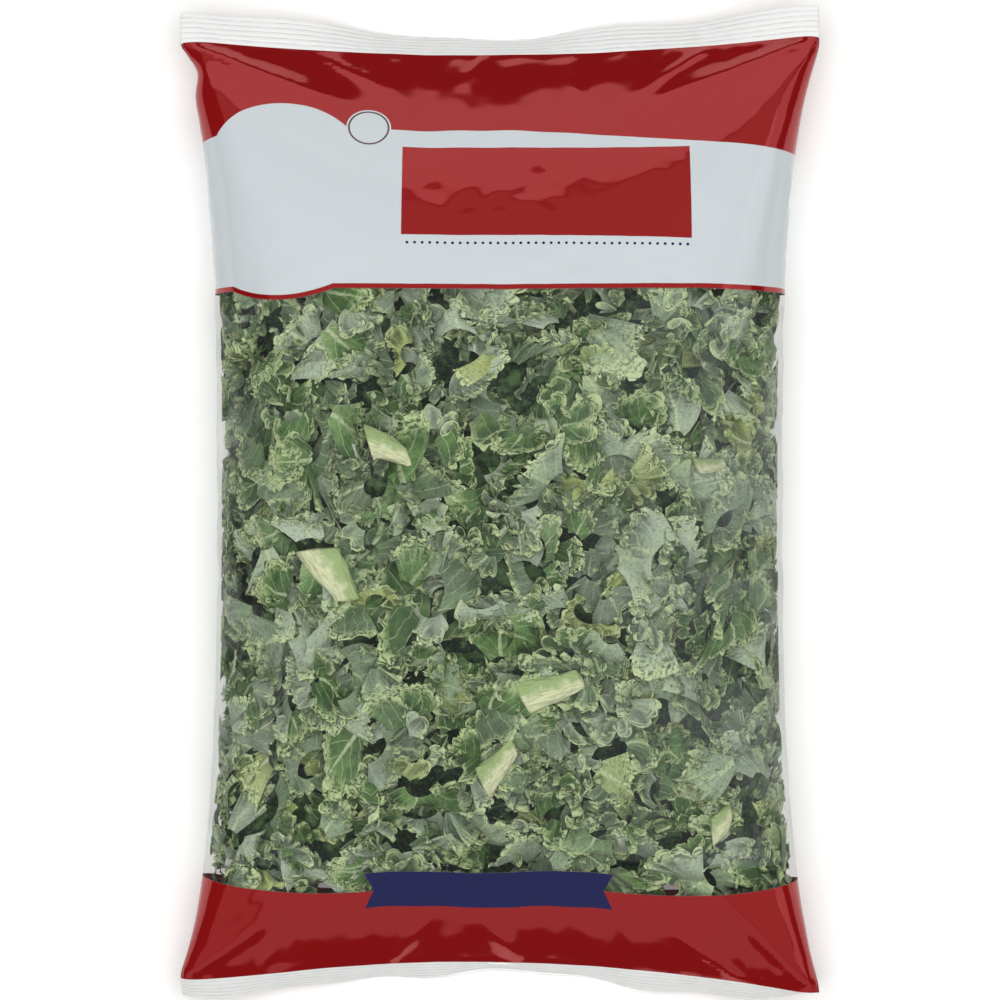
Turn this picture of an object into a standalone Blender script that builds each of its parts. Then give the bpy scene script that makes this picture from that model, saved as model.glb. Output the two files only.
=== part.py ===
"""A sealed pillow bag of chopped curly kale, lying on its back.

The film is a tube welded flat at both ends, so it swells to a pillow that is widest at the welds. The
kale inside is a set of clumps, each of frilled leaf pieces that stand out of a small core, with pale
chunks of stalk lying between them just under the film.

Metres, +Z up. The origin is the middle of the bag's underside. The bag's top end is at +Y.
"""

import math
import random

import bmesh
import bpy
from mathutils import Vector

FLAT_WIDTH = 0.279
PILLOW_HALF_WIDTH = 0.1234
PILLOW_HEIGHT = 0.0695
SEAL_HEIGHT = 0.0150
SEAL_CORNER_Y = 0.1975
SEAL_BOW = 0.0075
STRIP_WIDTH = 0.0140
STRIP_DROOP = 0.0030
STRIP_HALF_THICKNESS = 0.00045
CRIMP_RIDGES = 3
CRIMP_HEIGHT = 0.00035
FILM_WALL = 0.0006
FIN_WIDTH = 0.0120
FIN_HEIGHT = 0.0006
FIN_EDGE = 0.0003
VENT_DIAMETER = 0.0050
VENT_PLACES = ((-0.040, 0.110), (0.040, 0.110))
VENT_SIDES = 12
VENT_CUT_DEPTH = 0.0048

# The pillow's section from the middle of the bag to a weld, as shares of the way.
WIDENING_POWER = 4.5
SWELL_POWER = 0.8
WIDEST_SHARE = 0.36
TOP_ROUNDNESS = 2.25
BASE_ROUNDNESS = 6.0
BASE_LIFT_START = 0.72
BASE_LIFT_POWER = 1.5
TOP_STEPS = 20
BASE_STEPS = 7
LENGTH_STEPS = 20
HOLLOW_REACH = 0.985
FRAME_STEP = 0.01
SHARP_ANGLE = math.radians(40.0)
MERGE_DISTANCE = 0.000002

CLUMP_COLUMNS = 3
CLUMP_ROWS = 5
KALE_BOTTOM = -0.162
KALE_TOP = 0.156
KALE_HALF_WIDTH = 0.1215
CLUMP_GAP = 0.0016
SOFT_EDGE = 0.70
CORE_DEPTH = 0.0100
CORE_RIM_DROP = 0.0080
CORE_INSET = 0.0080
CORE_SIDE_DEPTH = 0.0200
CORE_STEPS = 2
CORE_ROUGHNESS = 0.0020
CORE_ROUNDING = 0.4
CORE_RIM_SHARE = 0.35
LEAF_DEPTH = 0.0017
LEAF_DEPTH_SPREAD = 0.0034
LEAF_THICKNESS = 0.0009
LEAF_SPOKES = 5
LEAF_WIDTHS = (0.036, 0.046)
LEAF_LENGTHS = (0.034, 0.044)
LEAF_FAN = math.radians(110.0)
LEAF_TURN = 0.8
LEAF_SPREAD = 0.60
LEAF_SCATTER = 0.2
LEAF_SETBACK = 0.30
LEAF_RADIUS = 0.74
EDGE_SPREAD = 0.08
SIDE_LEAF_SWING = (-0.1, 0.35)
BASE_LEAF_SIZE = 1.25
ROOT_DEPTH = 0.0150
ROOT_WIDTH = 0.0090
ROOT_SETBACK = 0.40
ROOT_PULL = 0.50
RUFFLE = 0.0034
RUFFLE_DROP = 0.5
TOOTH = 0.16
TOP_LEAVES = 5
BASE_LEAVES = 2
KALE_SEED = 11

STALK_DEPTH = 0.0019
STALK_CLEARANCE = 0.0006
STALK_SIDES = 8
STALK_STATIONS = (-0.50, -0.40, 0.40, 0.50)
STALK_END_SIZE = 0.86
STALK_TAPER = 0.30
STALK_UNDERSIDE = 0.8
STALK_SLANT = 0.25
STALK_ROOM_ABOVE = 0.0060
# Middle x, middle y, length, width, thickness and the turn about the film's normal in degrees.
FRONT_STALKS = (
    (-0.0745, -0.0345, 0.027, 0.014, 0.0055, -58.0),
    (-0.0500, 0.0210, 0.020, 0.010, 0.0050, -20.0),
    (0.0000, -0.1160, 0.023, 0.010, 0.0050, 55.0),
    (0.0240, -0.0820, 0.028, 0.012, 0.0055, 20.0),
    (0.0940, 0.0160, 0.015, 0.006, 0.0040, 5.0),
    (0.0990, -0.1410, 0.013, 0.009, 0.0045, 40.0),
)
BACK_STALKS = (
    (-0.0620, 0.0700, 0.025, 0.011, 0.0050, 35.0),
    (0.0480, 0.0150, 0.021, 0.010, 0.0050, -50.0),
    (-0.0280, -0.0900, 0.023, 0.012, 0.0055, 80.0),
    (0.0700, -0.0700, 0.019, 0.009, 0.0045, 10.0),
)

FILM_FINISH = ((0.520, 0.018, 0.025, 1.0), 0.12)
KALE_FINISH = ((0.115, 0.200, 0.070, 1.0), 0.55)
STALK_FINISH = ((0.640, 0.700, 0.330, 1.0), 0.45)


def clear_scene():
    """Empty the scene."""
    for old in list(bpy.data.objects):
        bpy.data.objects.remove(old, do_unlink=True)


def make_material(name, finish):
    """A Principled material of one colour and roughness."""
    color, roughness = finish
    material = bpy.data.materials.new(name)
    material.use_nodes = True
    shader = material.node_tree.nodes["Principled BSDF"]
    shader.inputs["Base Color"].default_value = color
    shader.inputs["Roughness"].default_value = roughness
    material.diffuse_color = color
    return material


def make_object(name, points, faces):
    """A new object of the given points and faces, linked to the scene."""
    mesh = bpy.data.meshes.new(name)
    mesh.from_pydata([tuple(point) for point in points], [], faces)
    mesh.update()
    made = bpy.data.objects.new(name, mesh)
    bpy.context.scene.collection.objects.link(made)
    return made


def finish_object(made, material):
    """Give a piece its material and shade it smooth over its softer edges."""
    made.data.materials.clear()
    made.data.materials.append(material)
    made.data.shade_smooth()
    made.data.set_sharp_from_angle(angle=SHARP_ANGLE)


def smooth_step(value):
    """0 below 0, 1 above 1, and a soft ramp between."""
    share = min(max(value, 0.0), 1.0)
    return share * share * (3.0 - 2.0 * share)


def seal_line(x):
    """The weld's distance from the bag's middle at x: the middle of the weld is drawn in."""
    across = min(abs(x) / (FLAT_WIDTH / 2.0), 1.0)
    return SEAL_CORNER_Y - SEAL_BOW * (1.0 - across * across)


def section(reach, depth=0.0):
    """The section at a share of the way to the weld, for a skin that lies depth inside the film.

    Gives its half width, the height of its widest place, its top, its base and its base roundness.
    """
    share = min(abs(reach), 1.0)
    half = PILLOW_HALF_WIDTH + (FLAT_WIDTH / 2.0 - PILLOW_HALF_WIDTH) * share ** WIDENING_POWER
    swell = (1.0 - share * share) ** SWELL_POWER
    top = SEAL_HEIGHT + STRIP_HALF_THICKNESS + (PILLOW_HEIGHT - SEAL_HEIGHT) * swell
    lift = smooth_step((share - BASE_LIFT_START) / (1.0 - BASE_LIFT_START))
    base = FIN_HEIGHT + (SEAL_HEIGHT - STRIP_HALF_THICKNESS - FIN_HEIGHT) * lift ** BASE_LIFT_POWER
    widest = base + (top - base) * (WIDEST_SHARE + (0.5 - WIDEST_SHARE) * share ** 3)
    roundness = 2.0 + (BASE_ROUNDNESS - 2.0) * (1.0 - lift)
    return half - depth, widest, top - depth, base + depth, roundness


def skin_point(angle, reach, depth=0.0):
    """A point of the pillow: angle turns from +X over the top, and reach runs from weld to weld."""
    half, widest, top, base, base_roundness = section(reach, depth)
    above = math.sin(angle) >= 0.0
    roundness = TOP_ROUNDNESS if above else base_roundness
    tall = top - widest if above else widest - base
    cosine = math.copysign(abs(math.cos(angle)) ** (2.0 / roundness), math.cos(angle))
    sine = math.copysign(abs(math.sin(angle)) ** (2.0 / roundness), math.sin(angle))
    x = half * cosine
    return Vector((x, reach * (seal_line(x) - depth), widest + tall * sine))


def skin_angle(x, reach, above):
    """The angle at which the pillow's top or base passes x."""
    half, _, _, _, base_roundness = section(reach)
    roundness = TOP_ROUNDNESS if above else base_roundness
    across = min(abs(x) / half, 1.0)
    angle = math.acos(math.copysign(across ** (roundness / 2.0), x))
    return angle if above else -angle


def height_limits(x, y, depth):
    """The lowest and the highest z at x and y that stay depth inside the film."""
    reach = min(abs(y) / (seal_line(x) - depth), 0.98)
    half, widest, top, base, base_roundness = section(reach, depth)
    across = min(abs(x) / half, 0.999)
    high = widest + (top - widest) * (1.0 - across ** TOP_ROUNDNESS) ** (1.0 / TOP_ROUNDNESS)
    low = widest - (widest - base) * (1.0 - across ** base_roundness) ** (1.0 / base_roundness)
    return low, high


def length_shares():
    """Shares of the way from weld to weld, closer together towards the welds."""
    turns = [math.pi * (index / LENGTH_STEPS - 0.5) for index in range(LENGTH_STEPS + 1)]
    return [math.sin(turn) for turn in turns]


def skin_ring(reach, depth, with_fin):
    """One closed ring of the film, from +X over the top and back below."""
    ring = [skin_point(math.pi * index / TOP_STEPS, reach, depth) for index in range(TOP_STEPS + 1)]
    quarter = [math.pi / 2.0 * index / BASE_STEPS for index in range(1, BASE_STEPS)]
    left = [skin_point(-math.pi + turn, reach, depth) for turn in quarter]
    middle = skin_point(-math.pi / 2.0, reach, depth)
    right = [Vector((-point.x, point.y, point.z)) for point in reversed(left)]
    if not with_fin:
        return ring + left + [middle] + right
    half = FIN_WIDTH / 2.0
    fin = []
    for x, drop in ((-half - FIN_EDGE, 0.0), (-half, FIN_HEIGHT), (half, FIN_HEIGHT), (half + FIN_EDGE, 0.0)):
        fin.append(Vector((x, middle.y, middle.z - drop)))
    return ring + left + fin + right


def strip_rings(end_ring, side):
    """The rings of one crimped strip, from its weld to its outer edge."""
    rings = []
    for step in range(1, 2 * CRIMP_RIDGES + 1):
        share = step / (2 * CRIMP_RIDGES)
        ridge = CRIMP_HEIGHT if step % 2 else -CRIMP_HEIGHT
        move = Vector((0.0, side * STRIP_WIDTH * share, ridge - STRIP_DROOP * share * share))
        rings.append([point + move for point in end_ring])
    return rings


def tube_faces(ring_count, ring_size):
    """Quads between each ring of a tube and the next."""
    faces = []
    for row in range(ring_count - 1):
        for column in range(ring_size):
            after = (column + 1) % ring_size
            low = row * ring_size
            high = low + ring_size
            faces.append((low + after, low + column, high + column, high + after))
    return faces


def flat_cap(first, ring_size, start_side):
    """Faces that close a flattened ring from its +X end to its -X end."""
    upper = list(range(1, TOP_STEPS))
    lower = list(range(ring_size - 1, TOP_STEPS, -1))
    faces = [(0, upper[0], lower[0])]
    u = 0
    v = 0
    while u < len(upper) - 1 or v < len(lower) - 1:
        step_upper = v == len(lower) - 1 or (u < len(upper) - 1 and u * len(lower) <= v * len(upper))
        if step_upper:
            faces.append((upper[u], upper[u + 1], lower[v]))
            u += 1
        else:
            faces.append((upper[u], lower[v + 1], lower[v]))
            v += 1
    faces.append((upper[-1], TOP_STEPS, lower[-1]))
    if start_side:
        faces = [tuple(reversed(face)) for face in faces]
    return [tuple(first + index for index in face) for face in faces]


def closed_tube(name, rings):
    """An object from rings that start and end flat, with its faces pointing out."""
    size = len(rings[0])
    points = [point for ring in rings for point in ring]
    faces = tube_faces(len(rings), size)
    faces += flat_cap(0, size, True)
    faces += flat_cap(size * (len(rings) - 1), size, False)
    made = make_object(name, points, faces)
    work = bmesh.new()
    work.from_mesh(made.data)
    bmesh.ops.recalc_face_normals(work, faces=work.faces)
    work.to_mesh(made.data)
    work.free()
    return made


def film_outside():
    """The bag's outer face: the pillow, its two crimped strips and the fin seal along its back."""
    pillow = [skin_ring(reach, 0.0, True) for reach in length_shares()]
    bottom_strip = reversed(strip_rings(pillow[0], -1.0))
    return closed_tube("bag_film", [*bottom_strip, *pillow, *strip_rings(pillow[-1], 1.0)])


def film_hollow():
    """The space inside the film."""
    rings = [skin_ring(reach * HOLLOW_REACH, FILM_WALL, False) for reach in length_shares()]
    return closed_tube("film_hollow", rings)


def vent_cutter(x, y):
    """A short upright cylinder where a vent hole is punched through the back of the film."""
    work = bmesh.new()
    bmesh.ops.create_cone(
        work,
        cap_ends=True,
        segments=VENT_SIDES,
        radius1=VENT_DIAMETER / 2.0,
        radius2=VENT_DIAMETER / 2.0,
        depth=VENT_CUT_DEPTH,
    )
    mesh = bpy.data.meshes.new("vent_cutter")
    work.to_mesh(mesh)
    work.free()
    cutter = bpy.data.objects.new("vent_cutter", mesh)
    cutter.location = (x, y, FIN_HEIGHT)
    bpy.context.scene.collection.objects.link(cutter)
    return cutter


def apply_boolean(target, tools, operation):
    """Join or cut the target with the tools, then remove the tools."""
    group = bpy.data.collections.new("tools")
    bpy.context.scene.collection.children.link(group)
    for tool in tools:
        group.objects.link(tool)
    change = target.modifiers.new("change", "BOOLEAN")
    change.operand_type = "COLLECTION"
    change.collection = group
    change.operation = operation
    bpy.context.view_layer.update()
    result = target.evaluated_get(bpy.context.evaluated_depsgraph_get())
    mesh = bpy.data.meshes.new_from_object(result)
    target.modifiers.remove(change)
    old = target.data
    target.data = mesh
    bpy.data.meshes.remove(old)
    for tool in tools:
        bpy.data.objects.remove(tool, do_unlink=True)
    bpy.data.collections.remove(group)


def islands(work):
    """The groups of faces that hang together, largest first."""
    left = set(work.faces)
    groups = []
    while left:
        stack = [left.pop()]
        group = list(stack)
        while stack:
            for edge in stack.pop().edges:
                for face in edge.link_faces:
                    if face in left:
                        left.remove(face)
                        stack.append(face)
                        group.append(face)
        groups.append(group)
    return sorted(groups, key=len, reverse=True)


def keep_largest(made):
    """Drop loose scraps, merge points that coincide and split every face into triangles."""
    work = bmesh.new()
    work.from_mesh(made.data)
    bmesh.ops.remove_doubles(work, verts=work.verts, dist=MERGE_DISTANCE)
    bmesh.ops.dissolve_degenerate(work, edges=work.edges, dist=MERGE_DISTANCE)
    scraps = [face for group in islands(work)[1:] for face in group]
    if scraps:
        bmesh.ops.delete(work, geom=scraps, context="FACES")
    loose = [vert for vert in work.verts if not vert.link_faces]
    bmesh.ops.delete(work, geom=loose, context="VERTS")
    bmesh.ops.triangulate(work, faces=work.faces)
    work.to_mesh(made.data)
    work.free()


def build_film(material):
    """The hollow film bag."""
    film = film_outside()
    tools = [film_hollow()] + [vent_cutter(x, y) for x, y in VENT_PLACES]
    apply_boolean(film, tools, "DIFFERENCE")
    keep_largest(film)
    finish_object(film, material)


def skin_frame(angle, reach, depth):
    """A point under the film with two directions along the film there and the one out of it."""
    step = FRAME_STEP
    point = skin_point(angle, reach, depth)
    along = (skin_point(angle, reach + step, depth) - skin_point(angle, reach - step, depth)).normalized()
    around = (skin_point(angle - step, reach, depth) - skin_point(angle + step, reach, depth)).normalized()
    outward = around.cross(along).normalized()
    return point, around, outward.cross(around), outward


class Cell:
    """The block of the bag's inside that one clump may fill."""

    def __init__(self, column, row):
        wide = 2.0 * KALE_HALF_WIDTH / CLUMP_COLUMNS
        tall = (KALE_TOP - KALE_BOTTOM) / CLUMP_ROWS
        self.x = -KALE_HALF_WIDTH + wide * (column + 0.5)
        self.y = KALE_BOTTOM + tall * (row + 0.5)
        self.half_x = (wide - CLUMP_GAP) / 2.0
        self.half_y = (tall - CLUMP_GAP) / 2.0
        self.open_left = column == 0
        self.open_right = column == CLUMP_COLUMNS - 1

    def middle(self):
        """The point that the clump's leaf pieces grow out from."""
        low, high = height_limits(self.x, self.y, CORE_DEPTH)
        return Vector((self.x, self.y, (low + high) / 2.0))

    def fit(self, point, depth):
        """The point drawn softly inside the cell and under the film."""
        x = point.x - self.x
        free = (x < 0.0 and self.open_left) or (x > 0.0 and self.open_right)
        x = self.x + (x if free else soft_limit(x, self.half_x))
        y = self.y + soft_limit(point.y - self.y, self.half_y)
        half = section(y / seal_line(x), depth)[0]
        x = min(max(x, -half), half)
        low, high = height_limits(x, y, depth)
        return Vector((x, y, min(max(point.z, low), high)))


def soft_limit(value, limit):
    """The value, drawn in smoothly so that it never passes the limit."""
    share = abs(value) / limit
    if share > SOFT_EDGE:
        rest = 1.0 - SOFT_EDGE
        share = SOFT_EDGE + rest * math.tanh((share - SOFT_EDGE) / rest)
    return math.copysign(share * limit, value)


def core_object(cell, draw):
    """The clump's small core, a lumpy cushion with its faces well under the film."""
    left = cell.x - cell.half_x + CORE_INSET
    right = cell.x + cell.half_x - CORE_INSET
    if cell.open_left:
        left = -PILLOW_HALF_WIDTH + CORE_SIDE_DEPTH
    if cell.open_right:
        right = PILLOW_HALF_WIDTH - CORE_SIDE_DEPTH
    middle_x = (left + right) / 2.0
    half_x = (right - left) / 2.0
    half_y = cell.half_y - CORE_INSET
    count = CORE_STEPS + 1
    upper = []
    lower = []
    for row in range(count):
        for column in range(count):
            u = 2.0 * column / CORE_STEPS - 1.0
            v = 2.0 * row / CORE_STEPS - 1.0
            x = middle_x + half_x * u * math.sqrt(1.0 - CORE_ROUNDING * v * v)
            y = cell.y + half_y * v * math.sqrt(1.0 - CORE_ROUNDING * u * u)
            depth = CORE_DEPTH + CORE_RIM_DROP * max(abs(u), abs(v)) ** 2
            low, high = height_limits(x, y, CORE_DEPTH)
            middle = (low + high) / 2.0
            drop = min(depth - CORE_DEPTH, CORE_RIM_SHARE * (high - low)) + CORE_ROUGHNESS * draw.random()
            upper.append(Vector((x, y, max(high - drop, middle + CORE_ROUGHNESS))))
            lower.append(Vector((x, y, min(low + drop, middle - CORE_ROUGHNESS))))
    faces = []
    under = count * count
    for row in range(CORE_STEPS):
        for column in range(CORE_STEPS):
            a = row * count + column
            faces.append((a, a + 1, a + count + 1, a + count))
            faces.append((under + a, under + a + count, under + a + count + 1, under + a + 1))
    rim = list(range(count))
    rim += [row * count + CORE_STEPS for row in range(1, count)]
    rim += [CORE_STEPS * count + column for column in range(CORE_STEPS - 1, -1, -1)]
    rim += [row * count for row in range(CORE_STEPS - 1, 0, -1)]
    for index, a in enumerate(rim):
        b = rim[(index + 1) % len(rim)]
        faces.append((a, under + a, under + b, b))
    return make_object("core", upper + lower, faces)


def leaf_sheet(cell, place, draw):
    """Two rows of points of one frilled leaf piece: its root in the core and its toothed edge."""
    angle, reach, heading, size = place
    depth = LEAF_DEPTH + LEAF_DEPTH_SPREAD * draw.random()
    middle, around, along, outward = skin_frame(angle, reach, depth)
    turn = heading + draw.uniform(-LEAF_TURN, LEAF_TURN)
    ahead = around * math.cos(turn) + along * math.sin(turn)
    across = outward.cross(ahead)
    width = size * draw.uniform(*LEAF_WIDTHS)
    length = size * draw.uniform(*LEAF_LENGTHS)
    shares = [2.0 * spoke / (LEAF_SPOKES - 1) - 1.0 for spoke in range(LEAF_SPOKES)]
    root = middle - ahead * ROOT_SETBACK * length
    root = root + (cell.middle() - root) * ROOT_PULL
    low, high = height_limits(root.x, root.y, ROOT_DEPTH)
    root.z = min(max(root.z, min(low, high)), max(low, high))
    stem = [root + across * share * ROOT_WIDTH / 2.0 for share in shares]
    rise = draw.choice((-1.0, 1.0))
    start = middle - ahead * LEAF_SETBACK * length
    edge = []
    for index, share in enumerate(shares):
        fan = share * LEAF_FAN / 2.0
        wave = rise * (1.0 if index % 2 else -1.0)
        radius = LEAF_RADIUS * (1.0 + TOOTH * wave + draw.uniform(-EDGE_SPREAD, EDGE_SPREAD))
        point = start + (ahead * math.cos(fan) * length + across * math.sin(fan) * width) * radius
        edge.append(point + outward * RUFFLE * (wave - RUFFLE_DROP))
    return [stem, [cell.fit(point, LEAF_DEPTH) for point in edge]]


def thicken(rows, thickness):
    """Points and triangles of a sheet given a thickness, split alike on both faces."""
    tall = len(rows)
    wide = len(rows[0])
    points = [point for row in rows for point in row]
    triangles = []
    for row in range(tall - 1):
        for column in range(wide - 1):
            a = row * wide + column
            triangles.append((a, a + 1, a + wide + 1))
            triangles.append((a, a + wide + 1, a + wide))
    normals = [Vector((0.0, 0.0, 0.0)) for _ in points]
    for a, b, c in triangles:
        normal = (points[b] - points[a]).cross(points[c] - points[a]).normalized()
        for index in (a, b, c):
            normals[index] += normal
    normals = [normal.normalized() for normal in normals]
    upper = [point + normal * thickness / 2.0 for point, normal in zip(points, normals)]
    lower = [point - normal * thickness / 2.0 for point, normal in zip(points, normals)]
    under = len(points)
    faces = list(triangles)
    faces += [(under + a, under + c, under + b) for a, b, c in triangles]
    rim = list(range(wide))
    rim += [row * wide + wide - 1 for row in range(1, tall)]
    rim += [(tall - 1) * wide + column for column in range(wide - 2, -1, -1)]
    rim += [row * wide for row in range(tall - 2, 0, -1)]
    for index, a in enumerate(rim):
        b = rim[(index + 1) % len(rim)]
        faces.append((a, under + a, under + b))
        faces.append((a, under + b, b))
    return upper + lower, faces


def leaf_places(cell, draw):
    """Where each leaf piece meets the film: an angle, a reach, the way it points and its size."""
    places = []
    for above, count in ((True, TOP_LEAVES), (False, BASE_LEAVES)):
        sign = 1.0 if above else -1.0
        first = draw.uniform(0.0, 2.0 * math.pi)
        for index in range(count):
            turn = first + 2.0 * math.pi * (index + draw.uniform(-LEAF_SCATTER, LEAF_SCATTER)) / count
            x = cell.x + cell.half_x * LEAF_SPREAD * math.cos(turn)
            y = cell.y + cell.half_y * LEAF_SPREAD * math.sin(turn)
            reach = y / seal_line(x)
            heading = math.atan2(math.sin(turn), sign * math.cos(turn))
            size = 1.0 if above else BASE_LEAF_SIZE
            places.append((skin_angle(x, reach, above), reach, heading, size))
    reach = cell.y / seal_line(cell.x)
    places.append((skin_angle(cell.x, reach, True), reach, draw.uniform(0.0, 2.0 * math.pi), 1.0))
    if cell.open_left or cell.open_right:
        swing = 1.0 if cell.open_right else -1.0
        angle = (0.0 if cell.open_right else math.pi) + swing * draw.uniform(*SIDE_LEAF_SWING)
        heading = draw.choice((-math.pi / 2.0, math.pi / 2.0))
        places.append((angle, cell.y / SEAL_CORNER_Y, heading, 1.0))
    return places


def stalk_frame(stalk, above):
    """Where a chunk of stalk lies under the film, and its own three directions."""
    x, y, _, _, thickness, degrees = stalk
    reach = y / seal_line(x)
    angle = skin_angle(x, reach, above)
    middle, around, along, outward = skin_frame(angle, reach, STALK_DEPTH + thickness / 2.0)
    turn = math.radians(degrees)
    ahead = around * math.cos(turn) + along * math.sin(turn)
    return middle, ahead, outward.cross(ahead), outward


def stalk_object(name, stalk, above, grow=0.0, lift=0.0):
    """A slightly tapered chunk of stalk with slanted cut ends, flatter on its inner side.

    A cutter is grown all round and lifted through the film; a chunk itself stays under it.
    """
    _, _, length, width, thickness, _ = stalk
    middle, ahead, across, outward = stalk_frame(stalk, above)
    points = []
    for station in STALK_STATIONS:
        bevel = STALK_END_SIZE if abs(station) == max(STALK_STATIONS) else 1.0
        taper = (1.0 - STALK_TAPER * station) * bevel
        for side in range(STALK_SIDES):
            turn = 2.0 * math.pi * (side + 0.5) / STALK_SIDES
            wide = math.cos(turn) * (width / 2.0 * taper + grow)
            high = math.sin(turn) * (thickness / 2.0 * bevel + grow)
            if high < 0.0:
                high *= STALK_UNDERSIDE
            far = station * (length + 2.0 * grow) + STALK_SLANT * wide * math.copysign(1.0, station)
            point = middle + ahead * far + across * wide + outward * high
            if lift > 0.0 and high > 0.0:
                point += outward * lift
            if lift == 0.0:
                low, top = height_limits(point.x, point.y, STALK_DEPTH)
                point.z = min(max(point.z, low), top)
            points.append(point)
    rings = len(STALK_STATIONS)
    faces = []
    for ring in range(rings - 1):
        for side in range(STALK_SIDES):
            after = (side + 1) % STALK_SIDES
            low = ring * STALK_SIDES
            high = low + STALK_SIDES
            faces.append((low + side, low + after, high + after, high + side))
    faces.append(tuple(reversed(range(STALK_SIDES))))
    faces.append(tuple(range((rings - 1) * STALK_SIDES, rings * STALK_SIDES)))
    return make_object(name, points, faces)


def stalk_list():
    """Every chunk of stalk with whether it lies under the front of the film."""
    return [(stalk, True) for stalk in FRONT_STALKS] + [(stalk, False) for stalk in BACK_STALKS]


def stalk_cutters(cell):
    """Grown copies of the chunks that lie in or near the cell."""
    cutters = []
    for stalk, above in stalk_list():
        near_x = abs(stalk[0] - cell.x) < cell.half_x + stalk[2]
        near_y = abs(stalk[1] - cell.y) < cell.half_y + stalk[2]
        if near_x and near_y:
            cutters.append(stalk_object("stalk_cutter", stalk, above, STALK_CLEARANCE, STALK_ROOM_ABOVE))
    return cutters


def build_clump(name, cell, draw, material):
    """One clump: leaf pieces joined to their core, with room left for the chunks of stalk."""
    clump = core_object(cell, draw)
    clump.name = name
    leaves = []
    for place in leaf_places(cell, draw):
        points, faces = thicken(leaf_sheet(cell, place, draw), LEAF_THICKNESS)
        leaves.append(make_object("leaf", points, faces))
    apply_boolean(clump, leaves, "UNION")
    keep_largest(clump)
    cutters = stalk_cutters(cell)
    if cutters:
        apply_boolean(clump, cutters, "DIFFERENCE")
        keep_largest(clump)
    finish_object(clump, material)


def build_kale(material):
    """Every clump of leaf, row by row."""
    draw = random.Random(KALE_SEED)
    number = 0
    for row in range(CLUMP_ROWS):
        for column in range(CLUMP_COLUMNS):
            number += 1
            build_clump(f"kale_clump_{number:02d}", Cell(column, row), draw, material)


def build_stalks(material):
    """Every chunk of stalk."""
    for number, (stalk, above) in enumerate(stalk_list(), start=1):
        chunk = stalk_object(f"stalk_chunk_{number:02d}", stalk, above)
        finish_object(chunk, material)


def main():
    """Build the bag and what is in it."""
    clear_scene()
    build_film(make_material("bag_film", FILM_FINISH))
    build_kale(make_material("kale_leaf", KALE_FINISH))
    build_stalks(make_material("kale_stalk", STALK_FINISH))


main()
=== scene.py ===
"""The looks of a sealed pillow bag of chopped curly kale, lying on its back.

The bag is one tube of clear printed film. Its shape is worked out here the way a real one takes it: a
flat tube, welded at both ends, is filled until it stands out, while the film neither stretches nor
bends sharply. Every leaf piece is then laid under that film by its place on the flat web, so the kale
follows the film and never pokes through it.
"""

import logging
import math
from dataclasses import dataclass, field
from enum import Enum
from typing import Any, Iterable, Mapping, Optional, Sequence, Union

import bpy
import numpy as np
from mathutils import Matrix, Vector
from mathutils.bvhtree import BVHTree


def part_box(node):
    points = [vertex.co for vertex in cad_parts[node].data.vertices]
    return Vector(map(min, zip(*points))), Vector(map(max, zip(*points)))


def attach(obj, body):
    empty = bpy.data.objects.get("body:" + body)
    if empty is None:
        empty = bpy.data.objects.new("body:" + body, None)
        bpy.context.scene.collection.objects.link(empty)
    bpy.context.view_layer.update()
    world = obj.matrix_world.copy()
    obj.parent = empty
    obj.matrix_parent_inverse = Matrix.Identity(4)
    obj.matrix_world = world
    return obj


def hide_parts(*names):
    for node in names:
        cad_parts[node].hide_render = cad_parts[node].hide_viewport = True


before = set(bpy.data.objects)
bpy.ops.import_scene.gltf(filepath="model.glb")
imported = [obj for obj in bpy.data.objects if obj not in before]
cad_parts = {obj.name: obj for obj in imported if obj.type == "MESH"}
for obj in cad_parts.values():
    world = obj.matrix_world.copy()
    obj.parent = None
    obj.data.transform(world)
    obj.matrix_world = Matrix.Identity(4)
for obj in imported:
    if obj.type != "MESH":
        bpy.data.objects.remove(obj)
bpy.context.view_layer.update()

LOG = logging.getLogger("kale_bag")
MM = 0.001
BODY = "root"

Array = np.ndarray


def linear(hex_colour: str) -> tuple[float, float, float, float]:
    """Turn an sRGB hex colour into the linear colour that Blender's sockets hold.

    Args:
        hex_colour: Six hex digits after a hash.

    Returns:
        Red, green, blue and alpha, linear.
    """
    parts = [int(hex_colour[index: index + 2], 16) / 255.0 for index in (1, 3, 5)]
    turned = [part / 12.92 if part <= 0.04045 else ((part + 0.055) / 1.055) ** 2.4 for part in parts]
    return turned[0], turned[1], turned[2], 1.0


def add_node(
    tree: bpy.types.NodeTree,
    kind: str,
    inputs: Optional[Mapping[Union[str, int], Any]] = None,
    **settings: Any,
) -> bpy.types.Node:
    """Add a node with its settings and links.

    Args:
        tree: The node tree that it goes into.
        kind: The node's type, without the ShaderNode in front.
        inputs: Socket names or numbers, each with a value or with the socket that feeds it.
        settings: The node's own settings.

    Returns:
        The new node.
    """
    node = tree.nodes.new("ShaderNode" + kind)
    for name, value in settings.items():
        setattr(node, name, value)
    for key, value in (inputs or {}).items():
        socket = node.inputs[key]
        if isinstance(value, bpy.types.NodeSocket):
            tree.links.new(value, socket)
        else:
            socket.default_value = value
    return node


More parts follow.
